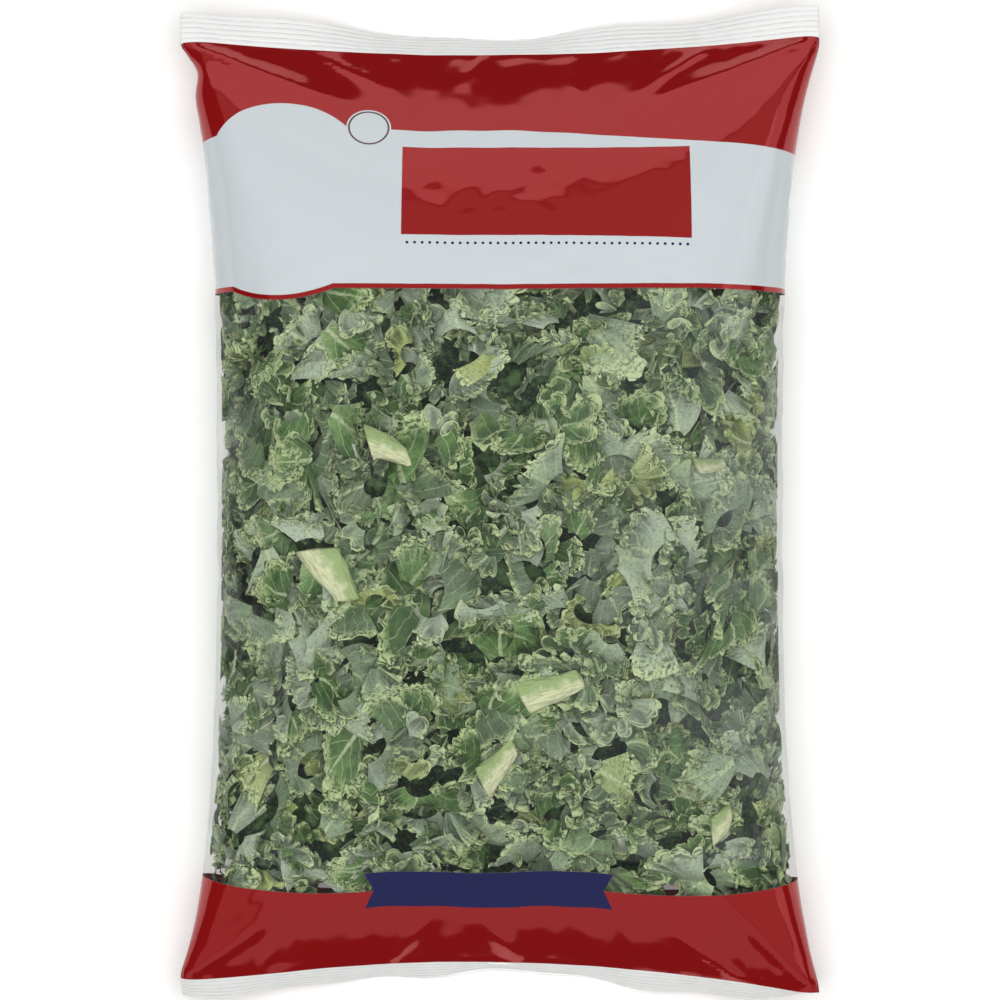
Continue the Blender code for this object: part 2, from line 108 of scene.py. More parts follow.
class Step(Enum):
    """The steps between a material's values: node, setting, its option, sockets read and socket given."""

    ABSOLUTE = ("Math", "operation", "ABSOLUTE", (0, 1, 2), 0)
    ADD = ("Math", "operation", "ADD", (0, 1, 2), 0)
    DIVIDE = ("Math", "operation", "DIVIDE", (0, 1, 2), 0)
    FRACT = ("Math", "operation", "FRACT", (0, 1, 2), 0)
    MAXIMUM = ("Math", "operation", "MAXIMUM", (0, 1, 2), 0)
    MULTIPLY = ("Math", "operation", "MULTIPLY", (0, 1, 2), 0)
    MULTIPLY_ADD = ("Math", "operation", "MULTIPLY_ADD", (0, 1, 2), 0)
    PINGPONG = ("Math", "operation", "PINGPONG", (0, 1, 2), 0)
    POWER = ("Math", "operation", "POWER", (0, 1, 2), 0)
    SINE = ("Math", "operation", "SINE", (0, 1, 2), 0)
    SQRT = ("Math", "operation", "SQRT", (0, 1, 2), 0)
    SUBTRACT = ("Math", "operation", "SUBTRACT", (0, 1, 2), 0)
    # A soft step of a value: where it starts and ends, and the results there, 0 and 1 unless given.
    RAMP = ("MapRange", "interpolation_type", "SMOOTHSTEP", (0, 1, 2, 3, 4), 0)
    # Two colours mixed: how much of the second one shows, the first and the second.
    MIX = ("Mix", "data_type", "RGBA", (0, 6, 7), 2)


class Recipe:
    """A material under construction."""

    def __init__(self, name: str) -> None:
        """Start an empty material.

        Args:
            name: The material's name.
        """
        self.material = bpy.data.materials.new(name)
        self.material.use_nodes = True
        self.tree = self.material.node_tree
        self.tree.nodes.clear()

    def add(
        self, kind: str, inputs: Optional[Mapping[Union[str, int], Any]] = None, **settings: Any,
    ) -> bpy.types.Node:
        """Add a node to this material; the arguments are those of add_node."""
        return add_node(self.tree, kind, inputs, **settings)

    def step(self, step: Step, *values: Any, **settings: Any) -> bpy.types.NodeSocket:
        """Add one step between values.

        Args:
            step: Which step.
            values: Numbers, colours or sockets, in the step's order; what is left out keeps its default.
            settings: More settings for its node.

        Returns:
            The socket with the result.
        """
        kind, name, option, sockets, output = step.value
        node = self.add(kind, dict(zip(sockets, values)), **{name: option}, **settings)
        return node.outputs[output]

    def between(self, value: Any, low: float, high: float, soft: float) -> bpy.types.NodeSocket:
        """A mask that is 1 from low to high, with edges as soft as asked.

        Args:
            value: The socket to read.
            low: The lower edge.
            high: The upper edge.
            soft: The width of each edge.

        Returns:
            The mask's socket.
        """
        rise = self.step(Step.RAMP, value, low - soft, low + soft)
        fall = self.step(Step.RAMP, value, high - soft, high + soft, 1.0, 0.0)
        return self.step(Step.MULTIPLY, rise, fall)

    def finish(self, surface: bpy.types.NodeSocket) -> bpy.types.Material:
        """Join the shader to the output.

        Args:
            surface: The shader's socket.

        Returns:
            The finished material.
        """
        self.add("OutputMaterial", {"Surface": surface})
        return self.material


@dataclass
class FilmTube:
    """A flat tube of film, welded at both ends and blown up until it holds its volume.

    The film is a grid of points that goes once round the tube. Each step pushes the grid outward,
    then draws its edges back to their flat length, and a weld keeps its front and back together.
    """

    width: float = 279.5 * MM
    length: float = 449.0 * MM
    strip: float = 14.0 * MM
    # The welded strip at the top end lies flatter than the one at the foot, so the filled part sits lower.
    offset: float = -3.5 * MM
    volume: float = 0.0047
    floor: float = -20.0 * MM
    pressure: float = 0.0006
    weight: float = 0.000006
    shear: float = 0.3
    slow: float = 0.9
    # For each grid: points around the tube, steps in time, passes in a step, and stiffness.
    stages: tuple[tuple[int, int, int, float], ...] = (
        (44, 320, 7, 0.2), (88, 170, 8, 0.1), (176, 70, 9, 0.05),
    )
    shake: float = 0.3 * MM
    seed: int = 5
    points: Array = field(init=False)
    speed: Array = field(init=False)

    def __post_init__(self) -> None:
        """Lay the tube out flat, with a slight swell to start from."""
        self.draw = np.random.default_rng(self.seed)
        self.divide(self.stages[0][0])
        u = np.arange(self.around) * self.du
        x = np.where(u <= self.width, u - self.width / 2, 1.5 * self.width - u)
        y = np.linspace(-self.length / 2, self.length / 2, self.rows + 1)
        side = np.where(u < self.width, 1.0, -1.0)
        across = np.sin(np.pi * (u % self.width) / self.width)
        swell = across[:, None] * np.cos(np.pi * y / self.length)[None, :]
        self.points = np.zeros((self.around, self.rows + 1, 3))
        self.points[..., 0] = x[:, None]
        self.points[..., 1] = y[None, :]
        self.points[..., 2] = side[:, None] * 6.0 * MM * swell
        self.points += self.draw.normal(0.0, 0.4 * MM, self.points.shape)
        self.weld()
        self.speed = np.zeros_like(self.points)

    def divide(self, around: int) -> None:
        """Set the grid's steps from the number of points around the tube."""
        self.around = around
        self.du = 2 * self.width / around
        self.rows = int(round(self.length / self.du))
        self.dv = self.length / self.rows
        self.sealed = max(1, int(round(self.strip / self.dv)))

    def weld(self) -> None:
        """Bring the front and the back together along both welded strips."""
        mirror = (-np.arange(self.around)) % self.around
        for rows in (slice(0, self.sealed + 1), slice(self.rows - self.sealed, None)):
            part = self.points[:, rows]
            self.points[:, rows] = (part + part[mirror]) / 2

    def refine(self, around: int, jitter: float) -> None:
        """Go over to a finer grid.

        Args:
            around: The number of points around the tube.
            jitter: How far each point is shaken, in metres, so that small creases can start.
        """
        old, old_around, old_rows = self.points, self.around, self.rows
        self.divide(around)
        column = np.arange(around) * old_around / around
        first = np.floor(column).astype(int)
        share = (column - first)[:, None, None]
        grid = old[first % old_around] * (1 - share) + old[(first + 1) % old_around] * share
        row = np.linspace(0, old_rows, self.rows + 1)
        first = np.minimum(np.floor(row).astype(int), old_rows - 1)
        share = (row - first)[None, :, None]
        self.points = grid[:, first] * (1 - share) + grid[:, first + 1] * share
        self.points += self.draw.normal(0.0, jitter, self.points.shape)
        self.weld()
        self.speed = np.zeros_like(self.points)

    def area_normals(self) -> Array:
        """Outward normals of the open part, as long as the film area that each point stands for."""
        around = np.roll(self.points, -1, 0) - np.roll(self.points, 1, 0)
        along = np.gradient(self.points, axis=1) * 2
        normals = np.cross(around, along) / 4
        normals[:, : self.sealed] = 0
        normals[:, self.rows - self.sealed + 1:] = 0
        return normals

    @staticmethod
    def draw_back(start: Array, end: Array, rest: float, share: float) -> Array:
        """How far the two ends of each edge move to bring it back to its flat length.

        Args:
            start: The edges' first points.
            end: Their last points.
            rest: Their flat length.
            share: How much of the difference is taken out.

        Returns:
            The move of each first point; the last point moves as far the other way.
        """
        edge = end - start
        length = np.sqrt((edge * edge).sum(-1, keepdims=True))
        return edge * (0.5 * share * (length - rest) / np.maximum(length, 1e-9))

    def hold_lengths(self) -> None:
        """Draw every edge and diagonal of the grid back to its flat length, once."""
        points, count = self.points, self.around
        after = np.roll(np.arange(count), -1)
        for start in (0, 1):
            first = np.arange(start, count, 2)
            move = self.draw_back(points[first], points[after[first]], self.du, 1.0)
            points[first] += move
            points[after[first]] -= move
        diagonal = math.hypot(self.du, self.dv)
        for start in (0, 1):
            span = (self.rows - start + 1) // 2
            low, high = slice(start, start + 2 * span, 2), slice(start + 1, start + 2 * span + 1, 2)
            move = self.draw_back(points[:, low], points[:, high], self.dv, 1.0)
            points[:, low] += move
            points[:, high] -= move
            for near, far in ((slice(None), after), (after, slice(None))):
                move = self.draw_back(points[near, low], points[far, high], diagonal, self.shear)
                points[near, low] += move
                points[far, high] -= move

    def smooth_bends(self, stiffness: float) -> None:
        """Ease sharp bends, as stiff film does.

        Args:
            stiffness: How strongly, from 0 to 1.
        """
        points = self.points
        bend = np.roll(points, 1, 0) + np.roll(points, -1, 0) - 2 * points
        bend[:, 1:-1] += points[:, 2:] + points[:, :-2] - 2 * points[:, 1:-1]
        bend *= 0.25 * stiffness
        change = np.roll(bend, 1, 0) + np.roll(bend, -1, 0) - 2 * bend
        change[:, 1:-1] += bend[:, 2:] + bend[:, :-2] - 2 * bend[:, 1:-1]
        self.points = points - 0.25 * change

    def settle(self, steps: int, passes: int, stiffness: float) -> None:
        """Let the tube fill and come to rest on the floor.

        Args:
            steps: How many steps in time.
            passes: How often the lengths are drawn back in each step.
            stiffness: The film's stiffness against bending.
        """
        area = self.du * self.dv
        load = np.full(self.rows + 1, self.weight)
        load[: self.sealed + 1] = 0.0
        load[self.rows - self.sealed:] = 0.0
        for _ in range(steps):
            normals = self.area_normals()
            held = float((self.points * normals).sum() / 3)
            drive = self.pressure * 10 * np.clip((self.volume - held) / self.volume, -0.3, 1.0)
            push = normals / area * drive
            push[..., 2] -= load[None, :]
            self.speed = (self.speed + push) * self.slow
            before = self.points.copy()
            self.points = self.points + self.speed
            for _ in range(passes):
                self.hold_lengths()
                self.smooth_bends(stiffness)
                self.weld()
                np.maximum(self.points[..., 2], self.floor, out=self.points[..., 2])
            self.speed = self.points - before

    def fill(self, fine: bool) -> "FilmShape":
        """Fill the tube, on coarse grids first.

        Args:
            fine: Whether the finest grid is used too.

        Returns:
            The filled film, standing on z = 0.
        """
        for index, (around, steps, passes, stiffness) in enumerate(self.stages[: 3 if fine else 2]):
            if index > 0:
                self.refine(around, self.shake)
            self.settle(steps, passes, stiffness)
        grid = self.points.copy()
        grid[..., 2] -= grid[..., 2].min()
        grid[..., :2] -= (grid[..., :2].max((0, 1)) + grid[..., :2].min((0, 1))) / 2
        grid[..., 1] += self.offset
        return FilmShape(grid, self.width, self.length, self.strip)


class FilmShape:
    """The filled film: a place and an outward direction for each point of the flat web."""

    def __init__(self, grid: Array, width: float, length: float, strip: float) -> None:
        """Keep the grid and work out its outward directions.

        Args:
            grid: Points around and along the tube.
            width: The flat tube's width.
            length: Its length.
            strip: The width of its welded strips.
        """
        self.grid = grid = self.part_sides(grid, 0.35 * MM)
        self.width = width
        self.length = length
        self.strip = strip
        around = np.roll(grid, -1, 0) - np.roll(grid, 1, 0)
        along = np.gradient(grid, axis=1)
        normals = np.cross(around, along)
        size = np.sqrt((normals * normals).sum(-1, keepdims=True))
        self.normals = normals / np.maximum(size, 1e-12)
        self.room = self.measure_room()
        # Places over the front and over the back, worked out once for each.
        self.tables: dict[bool, tuple[Array, Array, Array]] = {}

    @staticmethod
    def part_sides(grid: Array, least: float) -> Array:
        """Keep the front of the tube above its back, where a weld draws them together."""
        grid = grid.copy()
        count = grid.shape[0]
        front = np.arange(1, count // 2)
        back = count - front
        middle = (grid[front, :, 2] + grid[back, :, 2]) / 2
        grid[front, :, 2] = np.maximum(grid[front, :, 2], middle + least)
        grid[back, :, 2] = np.minimum(grid[back, :, 2], middle - least)
        return grid

    def measure_room(self) -> Array:
        """How far the film opposite lies from each point, straight inward, in metres."""
        wide, tall = self.grid.shape[0], self.grid.shape[1]
        tree = BVHTree.FromPolygons(self.grid.reshape(-1, 3).tolist(), grid_faces(wide, tall, True).tolist())
        start = (self.grid - self.normals * MM).reshape(-1, 3)
        inward = -self.normals.reshape(-1, 3)
        room = np.zeros(len(start))
        for index, (point, direction) in enumerate(zip(start.tolist(), inward.tolist())):
            far = tree.ray_cast(Vector(point), Vector(direction))[3]
            room[index] = (far or 0.0) + MM
        return room.reshape(wide, tall)

    def room_at(self, u: Array, v: Array) -> Array:
        """How much room there is inside the film at flat places; the arguments are those of place."""
        column, row, a, b = self.cells(u, v)
        count = self.grid.shape[0]
        after = (column + 1) % count
        low = self.room[column % count, row] * (1 - a) + self.room[after, row] * a
        high = self.room[column % count, row + 1] * (1 - a) + self.room[after, row + 1] * a
        return low * (1 - b) + high * b

    def cells(self, u: Array, v: Array) -> tuple[Array, Array, Array, Array]:
        """The grid cell of each flat place and the share of the way through it."""
        count, rows = self.grid.shape[0], self.grid.shape[1] - 1
        column = (u / (2 * self.width)) % 1.0 * count
        row = np.clip(v / self.length, 0.0, 1.0) * rows
        first_column = np.floor(column).astype(int)
        first_row = np.clip(np.floor(row).astype(int), 0, rows - 1)
        return first_column, first_row, column - first_column, row - first_row

    def place(self, u: Array, v: Array) -> Array:
        """The film's points at flat places, on a smooth surface through the grid.

        Args:
            u: Metres around the tube, from the front's left side.
            v: Metres from the bottom end.

        Returns:
            Points in the row frame.
        """
        column, row, a, b = self.cells(u, v)
        count, rows = self.grid.shape[0], self.grid.shape[1] - 1
        result = np.zeros(u.shape + (3,))
        for i, weight_u in enumerate(spline_weights(a)):
            for j, weight_v in enumerate(spline_weights(b)):
                index = np.clip(row + j - 1, 0, rows)
                result += self.grid[(column + i - 1) % count, index] * (weight_u * weight_v)[..., None]
        return result

    def outward(self, u: Array, v: Array) -> Array:
        """The film's outward directions at flat places; the arguments are those of place."""
        column, row, a, b = self.cells(u, v)
        count = self.grid.shape[0]
        after = (column + 1) % count
        a, b = a[..., None], b[..., None]
        low = self.normals[column % count, row] * (1 - a) + self.normals[after, row] * a
        high = self.normals[column % count, row + 1] * (1 - a) + self.normals[after, row + 1] * a
        mixed = low * (1 - b) + high * b
        size = np.sqrt((mixed * mixed).sum(-1, keepdims=True))
        return mixed / np.maximum(size, 1e-12)

    def under(self, u: Array, v: Array, depth: Array) -> Array:
        """Points that lie a depth inside the film; the other arguments are those of place."""
        return self.place(u, v) - self.outward(u, v) * depth[..., None]

    def flat_place(self, x: float, y: float, front: bool) -> tuple[float, float]:
        """Find the flat place above or below a point.

        Args:
            x: Metres across the bag.
            y: Metres along it.
            front: Whether the place is on the front.

        Returns:
            Metres around the tube and from the bottom end.
        """
        if front not in self.tables:
            u = np.linspace(0.02, 0.98, 240) * self.width + (0.0 if front else self.width)
            v = np.linspace(self.strip, self.length - self.strip, 400)
            table_u, table_v = np.meshgrid(u, v, indexing="ij")
            self.tables[front] = (table_u, table_v, self.place(table_u, table_v))
        table_u, table_v, points = self.tables[front]
        far = (points[..., 0] - x) ** 2 + (points[..., 1] - y) ** 2
        best = np.unravel_index(int(far.argmin()), far.shape)
        return float(table_u[best]), float(table_v[best])


def spline_weights(share: Array) -> tuple[Array, Array, Array, Array]:
    """The four weights of a smooth curve through evenly spaced points.

    Args:
        share: How far each place lies between the second point and the third.

    Returns:
        One array of weights for each of the four points.
    """
    square, cube = share * share, share * share * share
    return (
        0.5 * (-cube + 2 * square - share),
        0.5 * (3 * cube - 5 * square + 2),
        0.5 * (-3 * cube + 4 * square + share),
        0.5 * (cube - square),
    )


class Ripples:
    """A smooth random surface over the flat film, made of a few waves."""

    def __init__(self, draw: np.random.Generator, shortest: float, longest: float, count: int) -> None:
        """Choose the waves.

        Args:
            draw: Where the random numbers come from.
            shortest: The shortest wavelength, in metres.
            longest: The longest one.
            count: How many waves are laid over each other.
        """
        turn = draw.uniform(0.0, 2 * np.pi, count)
        size = 2 * np.pi / np.exp(draw.uniform(math.log(shortest), math.log(longest), count))
        self.across = size * np.cos(turn)
        self.along = size * np.sin(turn)
        self.phase = draw.uniform(0.0, 2 * np.pi, count)

    def at(self, u: Array, v: Array) -> Array:
        """The height at each place, mostly between -1 and 1."""
        total = np.zeros(u.shape)
        for across, along, phase in zip(self.across, self.along, self.phase):
            total += np.sin(across * u + along * v + phase)
        return total * math.sqrt(2.0 / len(self.phase)) / 1.6


def build_mesh(name: str, points: Array, faces: Array, material: bpy.types.Material) -> bpy.types.Object:
    """Make a smooth piece from arrays.

    Args:
        name: The piece's name.
        points: Its points in the row frame.
        faces: Its faces, as rows of three or four point numbers.
        material: Its material.

    Returns:
        The new object.
    """
    mesh = bpy.data.meshes.new(name)
    mesh.vertices.add(len(points))
    mesh.vertices.foreach_set("co", points.astype(np.float32).ravel())
    sides = faces.shape[1]
    mesh.loops.add(faces.size)
    mesh.loops.foreach_set("vertex_index", faces.astype(np.int32).ravel())
    mesh.polygons.add(len(faces))
    mesh.polygons.foreach_set("loop_start", np.arange(0, faces.size, sides, dtype=np.int32))
    mesh.update(calc_edges=True)
    mesh.validate()
    mesh.shade_smooth()
    mesh.materials.append(material)
    made = bpy.data.objects.new(name, mesh)
    bpy.context.scene.collection.objects.link(made)
    return made


def store(piece: bpy.types.Object, name: str, values: Array) -> None:
    """Keep three numbers for each point of a piece, for its material to read.

    Args:
        piece: The piece.
        name: The attribute's name.
        values: Three numbers for each point.
    """
    attribute = piece.data.attributes.new(name, "FLOAT_VECTOR", "POINT")
    attribute.data.foreach_set("vector", values.astype(np.float32).ravel())


def grid_faces(wide: int, tall: int, closed: bool = False, first: int = 0) -> Array:
    """Quads of a grid whose points run along it first.

    Args:
        wide: Points around or across.
        tall: Points along.
        closed: Whether the last column joins the first.
        first: The number of the grid's first point.

    Returns:
        One row of four point numbers for each quad.
    """
    column = np.arange(wide if closed else wide - 1)
    row = np.arange(tall - 1)
    a, b = np.meshgrid(column, row, indexing="ij")
    after = (a + 1) % wide
    faces = np.stack([a * tall + b, after * tall + b, after * tall + b + 1, a * tall + b + 1], -1)
    return faces.reshape(-1, 4) + first


@dataclass(frozen=True)
class PrintLayout:
    """Where the inks lie on the flat web, in millimetres from the left side and from the top end."""

    label_start: float = 58.6
    label_drop: float = 13.0
    label_end: float = 130.8
    line_end: float = 132.9
    # The label's round part as its middle and radius, and the wider arc that ends it below.
    bulge: tuple[float, float, float] = (48.0, 83.0, 36.0)
    bowl: tuple[float, float, float] = (46.5, 75.5, 60.0)
    bowl_start: float = 98.6
    # Right of its middle the web was drawn down, and the banner and the dots with it.
    skew_span: tuple[float, float] = (150.0, 260.0)
    banner_skew: float = 3.0
    dots_skew: float = 2.0
    line_width: float = 2.0
    banner_left: float = 98.2
    banner_right: float = 221.0
    banner_top: float = 67.5
    banner_end: float = 109.3
    dots_at: float = 112.8
    dot_pitch: float = 3.2
    dot_radius: float = 0.62
    foot_start: float = 388.5
    foot_bow: float = 5.0
    ribbon_left: float = 81.5
    ribbon_right: float = 188.5
    ribbon_middle: float = 393.6
    ribbon_half: float = 9.0
    ribbon_notch: float = 4.0
    badge_x: float = 83.5
    badge_y: float = 58.0
    badge_radius: float = 9.6


class FilmZone(Enum):
    """The two kinds of place on the film."""

    PRINTED = "inked on its inner side"
    CLEAR = "left clear to show the leaf"


@dataclass(frozen=True)
class PrintedFilm:
    """Cast polypropylene film, gravure printed on its inner side, so the inks shine like the film.

    To the eye: a glass-like skin with a little haze where it is clear, beads of water inside it near
    the sides, and flat saturated inks behind the same gloss.
    """

    zone: FilmZone
    layout: PrintLayout = PrintLayout()
    web: float = 279.5
    red: str = "#8E090C"
    red_thin: str = "#940A0D"
    white: str = "#D3DBDE"
    navy: str = "#060B4E"
    brown: str = "#5A3A33"
    haze: str = "#B9C2BC"
    # Polypropylene is 1.49, and the ink's own face behind it adds to the shine.
    index: float = 1.50
    # Dense red pigment is near 1.9, and its face behind the film mirrors red light most.
    red_index: float = 1.90
    red_shine: str = "#ED8080"
    # A clear place is mostly see-through, and its shine is dimmed with it, so there the index is raised.
    clear_index: float = 2.1
    roughness: float = 0.08
    clear_alpha: float = 0.030
    # Millimetres from here on: soft ink edges, ink clouds, patches of fog and how far they reach from a
    # side, the mist at the right with its soft edge, beads, and the film's faint waves.
    edge: float = 0.12
    ink_cloud: float = 50.0
    fog_patch: float = 33.33333
    fog_span: tuple[float, float] = (15.0, 75.0)
    mist_span: tuple[float, float, float] = (205.0, 290.0, 55.0)
    bead_pitch: float = 1.1764706
    crinkle_pitch: float = 20.0
    crinkle_height: float = 1.5 * MM
    # A bead's greatest radius as a share of its pitch, and how much light fog and beads catch.
    bead_size: float = 0.40
    fog_alpha: float = 0.11
    bead_alpha: float = 0.36

    def build(self) -> bpy.types.Material:
        """Build the material, which reads its place on the flat web from flat_mm."""
        clear = self.zone is FilmZone.CLEAR
        recipe = Recipe("clear_polypropylene_film" if clear else "printed_polypropylene_film")
        place = recipe.add("Attribute", attribute_name="flat_mm").outputs["Vector"]
        parts = recipe.add("SeparateXYZ", {0: place})
        across, down = parts.outputs[0], parts.outputs[1]
        from_side = recipe.step(Step.PINGPONG, across, self.web / 2)
        facing = recipe.add("LayerWeight", {"Blend": 0.35}).outputs["Facing"]
        veil = recipe.step(Step.MULTIPLY_ADD, recipe.step(Step.POWER, facing, 2.5), 0.34, self.clear_alpha)
        if clear:
            fog, beads = self.water(recipe, place, across, from_side)
            skin = {
                "Base Color": linear(self.haze),
                "IOR": self.clear_index,
                "Alpha": recipe.step(Step.MAXIMUM, recipe.step(Step.ADD, veil, fog, use_clamp=True), beads),
            }
        else:
            inked, colour = self.inks(recipe, across, down, from_side)
            hues = recipe.add("SeparateColor", {0: colour})
            red = recipe.step(
                Step.RAMP, recipe.step(Step.SUBTRACT, hues.outputs[0], hues.outputs[1]), 0.08, 0.20,
            )
            red = recipe.step(Step.MULTIPLY, red, inked)
            skin = {
                "Base Color": recipe.step(Step.MIX, inked, linear(self.haze), colour),
                "IOR": recipe.step(Step.MULTIPLY_ADD, red, self.red_index - self.index, self.index),
                "Specular IOR Level": recipe.step(Step.MULTIPLY_ADD, red, 0.5, 0.5),
                "Specular Tint": recipe.step(Step.MIX, red, (1.0, 1.0, 1.0, 1.0), linear(self.red_shine)),
                "Alpha": recipe.step(Step.MAXIMUM, inked, veil),
            }
        skin.update({"Roughness": self.roughness, "Normal": self.crinkle(recipe, place)})
        return recipe.finish(recipe.add("BsdfPrincipled", skin).outputs[0])

    def inks(self, recipe: Recipe, across: Any, down: Any, from_side: Any) -> tuple[Any, Any]:
        """The printed areas.

        Args:
            recipe: The material under construction.
            across: Millimetres from the left side.
            down: Millimetres from the top end.
            from_side: Millimetres from the nearer side fold.

        Returns:
            The mask of all inks and their colour.
        """
        sheet, edge = self.layout, self.edge
        folded = recipe.step(Step.PINGPONG, across, self.web)
        sag = recipe.step(Step.RAMP, folded, 0.5 * self.web, self.web, 0.0, sheet.label_drop)
        sag = recipe.step(
            Step.ADD, sag, recipe.step(Step.RAMP, folded, 0.0, 60.0, 0.5 * sheet.label_drop, 0.0),
        )
        low = recipe.step(Step.SUBTRACT, down, recipe.step(Step.ADD, sag, sheet.label_start))
        top_disc = self.disc(recipe, across, down, sheet.bulge)
        label = recipe.between(down, 0.0, sheet.label_end, edge)
        label = recipe.step(Step.MAXIMUM, label, self.bowl(recipe, across, down, 0.0))
        label = recipe.step(Step.MULTIPLY, label, recipe.step(Step.RAMP, low, -edge, edge))
        label = recipe.step(Step.MAXIMUM, label, top_disc)
        line = recipe.step(Step.RAMP, down, sheet.line_end - edge, sheet.line_end + edge, 1.0, 0.0)
        line = recipe.step(Step.MAXIMUM, line, self.bowl(recipe, across, down, sheet.line_width))
        bow = recipe.step(Step.RAMP, from_side, 0.0, 75.0, -0.5 * sheet.foot_bow, sheet.foot_bow)
        foot = recipe.step(
            Step.RAMP,
            recipe.step(Step.SUBTRACT, down, bow),
            sheet.foot_start - edge,
            sheet.foot_start + edge,
        )
        ribbon = self.ribbon(recipe, across, down)
        inked = recipe.step(Step.MAXIMUM, recipe.step(Step.MAXIMUM, foot, line), ribbon)
        banner = recipe.between(across, sheet.banner_left, sheet.banner_right, edge)
        level = recipe.step(
            Step.SUBTRACT, down, recipe.step(Step.RAMP, across, *sheet.skew_span, 0.0, sheet.banner_skew),
        )
        banner = recipe.step(
            Step.MULTIPLY, banner, recipe.between(level, sheet.banner_top, sheet.banner_end, edge),
        )
        web = recipe.add("CombineXYZ", {0: across, 1: down}).outputs[0]
        cloud = recipe.add("TexNoise", {"Vector": web, "Scale": 1.0 / self.ink_cloud})
        red = recipe.step(Step.MIX, cloud.outputs["Fac"], linear(self.red), linear(self.red_thin))
        colour = recipe.step(Step.MIX, label, red, linear(self.white))
        colour = recipe.step(Step.MIX, banner, colour, red)
        colour = recipe.step(Step.MIX, self.dots(recipe, across, down), colour, linear(self.navy))
        colour = recipe.step(Step.MIX, self.badge(recipe, across, down, 0.0), colour, linear(self.white))
        colour = recipe.step(Step.MIX, self.badge(recipe, across, down, 0.7), colour, linear(self.brown))
        colour = recipe.step(Step.MIX, self.badge(recipe, across, down, 1.5), colour, linear(self.white))
        return inked, recipe.step(Step.MIX, ribbon, colour, linear(self.navy))

    def disc(self, recipe: Recipe, across: Any, down: Any, at: tuple[float, float, float]) -> Any:
        """A round area; at holds its middle and its radius, in millimetres."""
        wide = recipe.step(Step.SUBTRACT, across, at[0])
        high = recipe.step(Step.SUBTRACT, down, at[1])
        square = recipe.step(Step.MULTIPLY_ADD, wide, wide, recipe.step(Step.MULTIPLY, high, high))
        return recipe.step(
            Step.RAMP, recipe.step(Step.SQRT, square), at[2] - self.edge, at[2] + self.edge, 1.0, 0.0,
        )

    def bowl(self, recipe: Recipe, across: Any, down: Any, wider: float) -> Any:
        """The shallow round bulge of the label's lower edge, made wider for the line around it."""
        sheet = self.layout
        middle_x, middle_y, radius = sheet.bowl
        round_part = self.disc(recipe, across, down, (middle_x, middle_y, radius + wider))
        return recipe.step(
            Step.MULTIPLY,
            round_part,
            recipe.step(Step.RAMP, down, sheet.bowl_start, sheet.bowl_start + 1.0),
        )

    def badge(self, recipe: Recipe, across: Any, down: Any, inset: float) -> Any:
        """The small plain round mark beside the bulge, drawn in by an inset."""
        sheet = self.layout
        return self.disc(recipe, across, down, (sheet.badge_x, sheet.badge_y, sheet.badge_radius - inset))

    def dots(self, recipe: Recipe, across: Any, down: Any) -> Any:
        """One row of small round dots below the banner."""
        sheet = self.layout
        step = recipe.step(Step.FRACT, recipe.step(Step.DIVIDE, across, sheet.dot_pitch))
        wide = recipe.step(Step.MULTIPLY, recipe.step(Step.SUBTRACT, step, 0.5), sheet.dot_pitch)
        level = recipe.step(
            Step.SUBTRACT, down, recipe.step(Step.RAMP, across, *sheet.skew_span, 0.0, sheet.dots_skew),
        )
        dot = self.disc(recipe, wide, level, (0.0, sheet.dots_at, sheet.dot_radius))
        row = recipe.between(across, sheet.banner_left, sheet.banner_right, 0.05)
        return recipe.step(Step.MULTIPLY, dot, row)

    def ribbon(self, recipe: Recipe, across: Any, down: Any) -> Any:
        """The plain swallow-tailed ribbon over the foot band's upper edge."""
        sheet = self.layout
        wave = recipe.step(
            Step.MULTIPLY, recipe.step(Step.SINE, recipe.step(Step.MULTIPLY, across, 0.085)), 0.7,
        )
        high = recipe.step(Step.SUBTRACT, recipe.step(Step.ADD, down, wave), sheet.ribbon_middle)
        high = recipe.step(Step.ABSOLUTE, high)
        slope = sheet.ribbon_notch / sheet.ribbon_half
        notch = recipe.step(Step.MULTIPLY_ADD, high, -slope, sheet.ribbon_notch)
        left = recipe.step(Step.SUBTRACT, recipe.step(Step.SUBTRACT, across, sheet.ribbon_left), notch)
        right = recipe.step(Step.SUBTRACT, recipe.step(Step.SUBTRACT, sheet.ribbon_right, across), notch)
        left, right = (recipe.step(Step.RAMP, side, -self.edge, self.edge) for side in (left, right))
        inside = recipe.step(Step.MULTIPLY, left, right)
        body = recipe.step(
            Step.RAMP, high, sheet.ribbon_half - self.edge, sheet.ribbon_half + self.edge, 1.0, 0.0,
        )
        return recipe.step(Step.MULTIPLY, inside, body)

